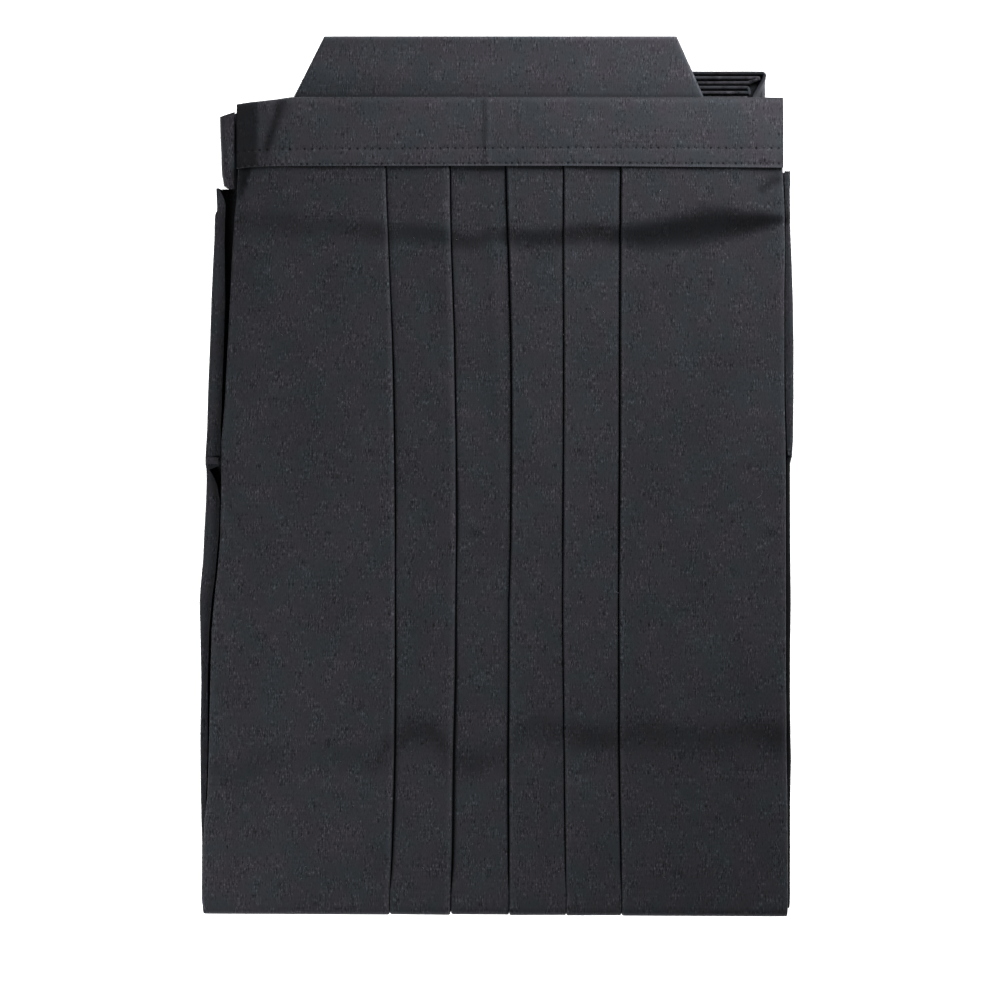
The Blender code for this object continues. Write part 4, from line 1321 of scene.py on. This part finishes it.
@dataclass
class BackTies:
    """The back ties: one strip folded to and fro, standing on edge behind the board.

    Its outermost loop goes round the other layers' ends, and leans over them.
    """

    foot: float = 1.5
    top: float = 13.9
    wall: float = 2.2
    lean: float = 7.0
    point_step: float = 0.7
    # y, left end, right end, from the board's side outwards
    layers: tuple = (
        (199.7, -52.0, 143.6),
        (202.6, -63.0, 134.6),
        (205.3, -63.0, 136.4),
        (208.0, -58.0, 134.8),
        (210.6, -58.0, 135.0),
        (213.2, -66.0, 141.8),
        (215.8, -66.0, 143.6),
    )

    def plan(self) -> Array:
        """Return the strip's middle line from above, its corners rounded by smoothing.

        It runs along the innermost layer, up the loop's end, back along the outermost layer, and
        then to and fro through the layers between them.
        """
        inner, outer = self.layers[0], self.layers[-1]
        corners = [(inner[1], inner[0]), (inner[2], inner[0]), (outer[2], outer[0]),
                   (outer[1], outer[0])]
        for number, (y, left, right) in enumerate(self.layers[-2:0:-1]):
            ends = [(left, y), (right, y)]
            corners += ends if number % 2 == 0 else ends[::-1]
        return bend_round(corners, 3, step=self.point_step)

    def build(self, material: bpy.types.Material) -> bpy.types.Object:
        """Make the ties: the plan's wall carried up in z, with rounded, uneven top edges.

        Args:
            material: the ties' cloth.

        Returns:
            The piece.
        """
        line = self.plan()
        faces = both_faces(line[None], self.wall)[0]
        middle = faces.mean(axis=1, keepdims=True)
        rise = np.array([0.0, 0.02, 0.3, 0.6, 0.85, 0.93, 0.975, 1.0])
        taper = np.array([0.45, 0.05, 0.0, 0.0, 0.02, 0.10, 0.35, 0.75])
        way = arc_length(line[None])[0]
        uneven = 0.5 * np.sin(way / 60.0) + 0.25 * np.sin(way / 23.0 + 1.0) - 0.55
        stack = faces[None] + (middle - faces)[None] * taper[:, None, None, None]
        height = self.top + uneven[None, :, None] - self.foot
        z = self.foot + rise[:, None, None] * np.broadcast_to(height, (8, len(way), 2))
        low, high = self.layers[0][0], self.layers[-1][0]
        leaning = self.lean * ease((line[:, 0] - 134.0) / 6.0) * (
            1 - ease((line[:, 1] - low) / (high - low)))
        x = stack[..., 0] - (rise ** 1.3)[:, None, None] * leaning[None, :, None]
        grid = np.stack([x, stack[..., 1], z], axis=-1)
        # painted highlight along the strip's top edge, and painted shade on its outermost layer
        wear_and_painted_light = 0.3 * (rise > 0.9)[:, None, None] - 0.55 * ease((line[:, 1] - 214.0) / 0.8)[
            None, :, None] + 0.0 * z
        piece = cloth_piece("back_ties_cloth", grid, z, way[None, :, None], wear_and_painted_light, material)
        settle(piece, "back_ties", (way[-1], self.top - self.foot))
        self.build_turn(material)
        return piece

    @staticmethod
    def build_turn(material: bpy.types.Material) -> bpy.types.Object:
        """Make the strip's turn that lies inside the loop's end, under the leaning wall."""
        x = np.linspace(126.0, 142.6, 12)
        turn = np.linspace(0.0, 2 * math.pi, 24, endpoint=False)
        swell = 0.8 * np.sin((x - 126.0) / 16.6 * math.pi) + 1.2 * (x - 126.0) / 16.6
        y = 207.8 + 7.2 * squared(np.cos(turn), 0.4)
        z = 4.6 + (3.0 + swell)[:, None] * squared(np.sin(turn), 0.6)
        z = np.clip(z, 1.6, None)
        points = np.stack([np.broadcast_to(x[:, None], z.shape), np.broadcast_to(y, z.shape), z],
                          axis=-1)
        return tube_piece("back_ties_turn", points[None], material)


@dataclass
class TieEnd:
    """The front tie's end at the wearer's right, doubled and folded down beside the band."""

    wall: float = 1.4
    slant: float = 0.30
    section: tuple = ((-139.6, 21.0), (-145.2, 20.9), (-147.1, 19.3), (-147.2, 15.8),
                      (-145.4, 13.2), (-139.0, 12.9), (-124.0, 12.9))
    # y, shift, tuck
    rows: tuple = ((153.2, 2.0, 1.6), (156.0, 1.6, 1.2), (160.4, 1.1, 0.7), (166.0, 0.8, 0.3),
                   (172.0, 0.7, 0.2), (180.0, 0.3, 0.0), (188.0, 0.1, 0.0), (192.0, 0.0, 0.1),
                   (194.0, 0.0, 0.4))

    def build(self, material: bpy.types.Material) -> bpy.types.Object:
        """Make the tie's end: a smooth section carried along y, its top cut on a slant.

        Args:
            material: the ties' cloth.

        Returns:
            The piece.
        """
        line = bend_round(self.section, 14, count=60)
        y = np.linspace(self.rows[0][0], self.rows[-1][0], 50)
        shift, tuck = (column(self.rows, place, y) for place in (1, 2))
        faces = both_faces(line[None], self.wall)[0]
        x = faces[None, ..., 0] + shift[:, None, None]
        dent = 0.5 * np.exp(-((x + 143.6) / 1.4) ** 2) * ease((188.0 - y) / 22.0)[:, None, None]
        z = faces[None, ..., 1] - tuck[:, None, None] - dent * (faces[None, ..., 1] > 17.0)
        slanted = np.clip(self.slant * (x + 140.0), -3.0, 1.0)
        y_cut = y[:, None, None] + slanted * ease((y - 176.0) / 18.0)[:, None, None]
        drawn = np.clip(0.6 * (x + 142.5), -2.4, 0.0) * ease((161.0 - y) / 7.0)[:, None, None]
        grid = np.stack([x, y_cut - drawn, z], axis=-1)
        way_fine = arc_length(line[None])[0]
        # painted light across the tie's end, lighter towards the band and darker away from it, and
        # painted shadow, near black, beside the band's edge
        painted_light_across = np.clip(0.27 * (x + 144.7), -0.35, 1.1)
        painted_light_across = np.where(painted_light_across > 0, painted_light_across * ease((y - 160.0) / 9.0)[:, None, None], painted_light_across)
        wear_and_painted_light = painted_light_across - (painted_light_across + 0.9) * ease((x + 140.2) / 0.5)
        piece = cloth_piece("right_tie_end_cloth", grid, way_fine[None, :, None] + 0.0 * x,
                            y[:, None, None] + 0.0 * x, wear_and_painted_light, material)
        return settle(piece, "right_tie_end", (way_fine[-1], y[-1] - y[0]))


@dataclass
class SlitStop:
    """The stop at a side slit's foot: two ridges of close stitching over a folded bar."""

    node: str

    def build(self, material: bpy.types.Material) -> bpy.types.Object:
        """Make the bar as a rounded block with a groove between its two ridges.

        The top is a quarter circle at each edge, less a bell-shaped groove along the middle and
        the fine ribs of the thread across it.

        Args:
            material: the stop's thread.

        Returns:
            The piece.
        """
        low, high = (np.array(corner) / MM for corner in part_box(self.node))
        share = (1 - np.cos(np.linspace(0, math.pi, 40))) / 2
        x = low[0] + share * (high[0] - low[0])
        y = low[1] + share * (high[1] - low[1])
        size = high - low
        side = np.minimum(share, 1 - share)
        round_x = np.sqrt(1 - (1 - np.clip(side * size[0] / 0.5, 0, 1)) ** 2)[:, None]
        round_y = np.sqrt(1 - (1 - np.clip(side * size[1] / 0.6, 0, 1)) ** 2)[None]
        groove = 0.4 * np.exp(-((share - 0.5) / 0.09) ** 2)[None]
        ribs = 0.10 * (0.5 + 0.5 * np.sin(x * 2 * math.pi / 0.7))[:, None]
        half = size[2] / 2 * np.clip(round_x * round_y, 0.08, 1.0)
        centre = (low[2] + high[2]) / 2
        z = np.stack([centre + half * (1 - groove) - ribs * round_y, centre - half], axis=-1)
        grid = np.stack([np.broadcast_to(x[:, None, None], z.shape),
                         np.broadcast_to(y[None, :, None], z.shape), z], axis=-1)
        # the stop's thread is painted a little lighter all over
        piece = cloth_piece(self.node + "_thread", grid, grid[..., 0], grid[..., 1],
                            0.3 + 0.0 * z, material)
        return settle(piece, self.node)


@dataclass
class Lint:
    """Loose pale fibres caught on the nap of the black cloth, and one longer thread."""

    stack: PressedStack
    count: int = 90
    seed: int = 21
    thickness: float = 0.11

    def build(self, material: bpy.types.Material) -> bpy.types.Object:
        """Make each fibre as a three-sided tube along a small arc laid on the front.

        Args:
            material: the fibres' finish.

        Returns:
            The piece.
        """
        draw = np.random.default_rng(self.seed)
        x = np.append(draw.uniform(-136.0, 150.0, self.count), 140.5)
        y = np.append(draw.uniform(-218.0, 158.0, self.count), -10.5)
        turn = np.append(draw.uniform(0.0, math.pi, self.count), 0.9)
        length = np.append(draw.uniform(0.5, 1.5, self.count), 6.0)
        bend = np.append(draw.uniform(-0.9, 0.9, self.count), 0.7)
        step = np.linspace(-0.5, 0.5, 7)
        angle = turn[:, None] + bend[:, None] * step
        px = x[:, None] + length[:, None] * step * np.cos(angle)
        py = y[:, None] + length[:, None] * step * np.sin(angle)
        pz = self.surface(px, py) + 0.12
        around = np.linspace(0, 2 * math.pi, 4, endpoint=False)
        girth = self.thickness / 2 * np.array([0.3, 0.9, 1.0, 1.0, 1.0, 0.9, 0.3])
        side = np.stack([-np.sin(angle), np.cos(angle)], axis=-1)
        offset = girth[:, None] * np.cos(around)
        points = np.stack([px[..., None] + side[..., :1] * offset,
                           py[..., None] + side[..., 1:] * offset,
                           pz[..., None] + girth[:, None] * np.sin(around)], axis=-1)
        return tube_piece("lint_fibres", points, material)

    def surface(self, x: Array, y: Array) -> Array:
        """Return the height of what shows at (x, y) on the front."""
        rows = FrontPanels.rows
        run = self.stack.band_foot - y
        at = [column(rows, place, run) for place in range(2, 7)]
        step = column(rows, 8, run)
        low = np.where((x > at[0]) & (x < at[1]), (at[1] - x) / (at[1] - at[0]), 0.0)
        low = np.where((x > at[1]) & (x < at[2]), 1.5, low)
        low = np.where((x > at[2]) & (x < at[3]), (x - at[2]) / (at[3] - at[2]), low)
        low = np.where((x > at[3]) & (x < at[4]), (x - at[3]) / (at[4] - at[3]), low)
        return self.stack.height(x, y) - step * low


@dataclass(frozen=True)
class PaleFibre:
    """Loose cotton fibre: off-white, fully matte."""

    name: str
    shade: str

    def build(self) -> bpy.types.Material:
        """Make the material, a little uneven along its length."""
        material = bpy.data.materials.new(self.name)
        material.use_nodes = True
        tree = material.node_tree
        shader = tree.nodes["Principled BSDF"]
        place = add_node(tree, "TexCoord").outputs["Object"]
        noise = add_node(tree, "TexNoise", {"Vector": place, "Scale": 900.0}).outputs["Fac"]
        tone = add_node(tree, "Math", {0: noise, 1: 0.5}, operation="ADD").outputs[0]
        colour = add_node(tree, "VectorMath", {0: linear(self.shade)[:3], "Scale": tone},
                          operation="SCALE").outputs[0]
        tree.links.new(colour, shader.inputs["Base Color"])
        shader.inputs["Roughness"].default_value = 0.95
        return material


@dataclass
class Studio:
    """A white floor and backdrop, soft lights, and the camera straight above the garment."""

    centre: tuple[float, float] = (0.0019, -0.0127)
    camera_height: float = 2.024
    view_width: float = 0.5323
    cloth_level: float = 0.024

    def build(self) -> None:
        """Make the floor, the lights, the world and the camera."""
        mesh = bpy.data.meshes.new("floor")
        reach = 6.0
        mesh.from_pydata([(-reach, -reach, 0), (reach, -reach, 0), (reach, reach, 0),
                          (-reach, reach, 0)], [], [(0, 1, 2, 3)])
        paper = bpy.data.materials.new("white_paper")
        paper.use_nodes = True
        shader = paper.node_tree.nodes["Principled BSDF"]
        for name, value in (("Base Color", linear("#f6f6f6")), ("Roughness", 0.9),
                            ("Specular IOR Level", 0.1)):
            shader.inputs[name].default_value = value
        mesh.materials.append(paper)
        floor = link("floor", mesh)
        sides = 96
        turn = np.linspace(0.0, 2 * math.pi, sides, endpoint=False)
        ring = np.stack([5.8 * np.cos(turn), 5.8 * np.sin(turn)], axis=-1)
        corners = [(*place, height) for height in (-0.1, 3.5) for place in ring.tolist()]
        wall = bpy.data.meshes.new("backdrop")
        wall.from_pydata(corners, [], [
            (place, place + sides, (place + 1) % sides + sides, (place + 1) % sides)
            for place in range(sides)])
        wall.materials.append(paper)
        backdrop = link("backdrop", wall)
        backdrop.visible_diffuse = backdrop.visible_glossy = backdrop.visible_shadow = False
        garment = bpy.data.collections.new("lit_garment")
        for piece in bpy.context.scene.objects:
            if piece.type == "MESH" and piece not in (floor, backdrop):
                garment.objects.link(piece)
        paper_only = bpy.data.collections.new("lit_paper")
        paper_only.objects.link(floor)
        paper_only.objects.link(backdrop)
        self.lamp("key", (0.42, 0.51, 0.28), 0.30, 9.4, garment)
        self.lamp("fill", (-0.343, -0.306, 0.38), 0.25, 2.1, garment)
        self.lamp("overhead", (0.0, 0.0, 6.0), 6.0, 1500.0, paper_only)
        world = bpy.data.worlds.new("studio")
        world.use_nodes = True
        world.node_tree.nodes["Background"].inputs["Color"].default_value = linear("#ffffff")
        world.node_tree.nodes["Background"].inputs["Strength"].default_value = 0.12
        bpy.context.scene.world = world
        bpy.context.scene.view_settings.view_transform = "Standard"
        camera = bpy.data.cameras.new("camera")
        camera.sensor_width = 36.0
        camera.lens = 36.0 * (self.camera_height - self.cloth_level) / self.view_width
        camera.clip_end = 30.0
        view = link("camera", camera)
        view.location = (*self.centre, self.camera_height)
        bpy.context.scene.camera = view

    @staticmethod
    def lamp(name: str, place: tuple[float, float, float], size: float, power: float,
             lit: bpy.types.Collection) -> None:
        """Add a square soft light at a place, aimed at the garment's middle.

        Args:
            name: the light's name.
            place: where it hangs, in metres.
            size: the square's side, in metres.
            power: its power, in watts.
            lit: the objects that it lights.
        """
        light = bpy.data.lights.new(name, "AREA")
        light.shape = "SQUARE"
        light.size = size
        light.energy = power
        lamp = link(name, light)
        lamp.visible_camera = False
        lamp.light_linking.receiver_collection = lit
        lamp.location = place
        away = np.array(place)
        lamp.rotation_euler = (math.acos(away[2] / np.linalg.norm(away)), 0.0,
                               math.atan2(away[0], -away[1]))


def main() -> None:
    """Build every piece of the garment, then the studio round it."""
    logging.basicConfig(level=logging.INFO, format="%(name)s: %(message)s")
    stack = PressedStack()
    fronts = FrontPanels(stack)
    # the copies of the black cotton after the first are painted lighter or darker for the light that
    # falls on each piece
    fronts.build(BlackCotton("pressed_black_cotton").build())
    back_cotton_painted_darker = BlackCotton("black_cotton_turned_edge_painted_darker", painted_brightness=0.74).build()
    SlitEdge(stack, fronts, Leg.RIGHT, RIGHT_EDGE_ROWS).build(back_cotton_painted_darker)
    SlitEdge(stack, fronts, Leg.LEFT, LEFT_EDGE_ROWS).build(back_cotton_painted_darker)
    FoldedLayers(stack, fronts).build(BlackCotton("black_cotton_inner_painted_darker", painted_brightness=0.55).build())
    band = FrontBand(stack)
    rows = ((band.upper_row, band.upper_pitch), (band.lower_row, band.lower_pitch))
    band.build(BlackCotton(
        "black_cotton_doubled_painted_lighter", painted_brightness=1.38, contrast=2.9, fleck=0.6, stitch_rows=rows).build())
    StitchRows(band).build(BlackCotton("black_cotton_thread_painted_lighter", painted_brightness=1.45).build())
    BackBoard().build(BlackCotton(
        "black_cotton_over_board_painted_lighter", painted_brightness=1.38, contrast=2.9, fleck=0.6).build())
    tie_cotton_painted_darker = BlackCotton("black_cotton_tie_painted_darker", painted_brightness=0.6).build()
    BackTies().build(tie_cotton_painted_darker)
    TieEnd().build(BlackCotton("black_cotton_tie_end_painted_lighter", painted_brightness=1.9).build())
    stop_thread_painted_darker = BlackCotton("black_cotton_stop_thread_painted_darker", painted_brightness=0.72).build()
    SlitStop("right_slit_stop").build(stop_thread_painted_darker)
    SlitStop("left_slit_stop").build(stop_thread_painted_darker)
    Lint(stack).build(PaleFibre("pale_cotton_fibre", "#6c6c70").build())
    Studio().build()


if __name__ == "__main__":
    main()
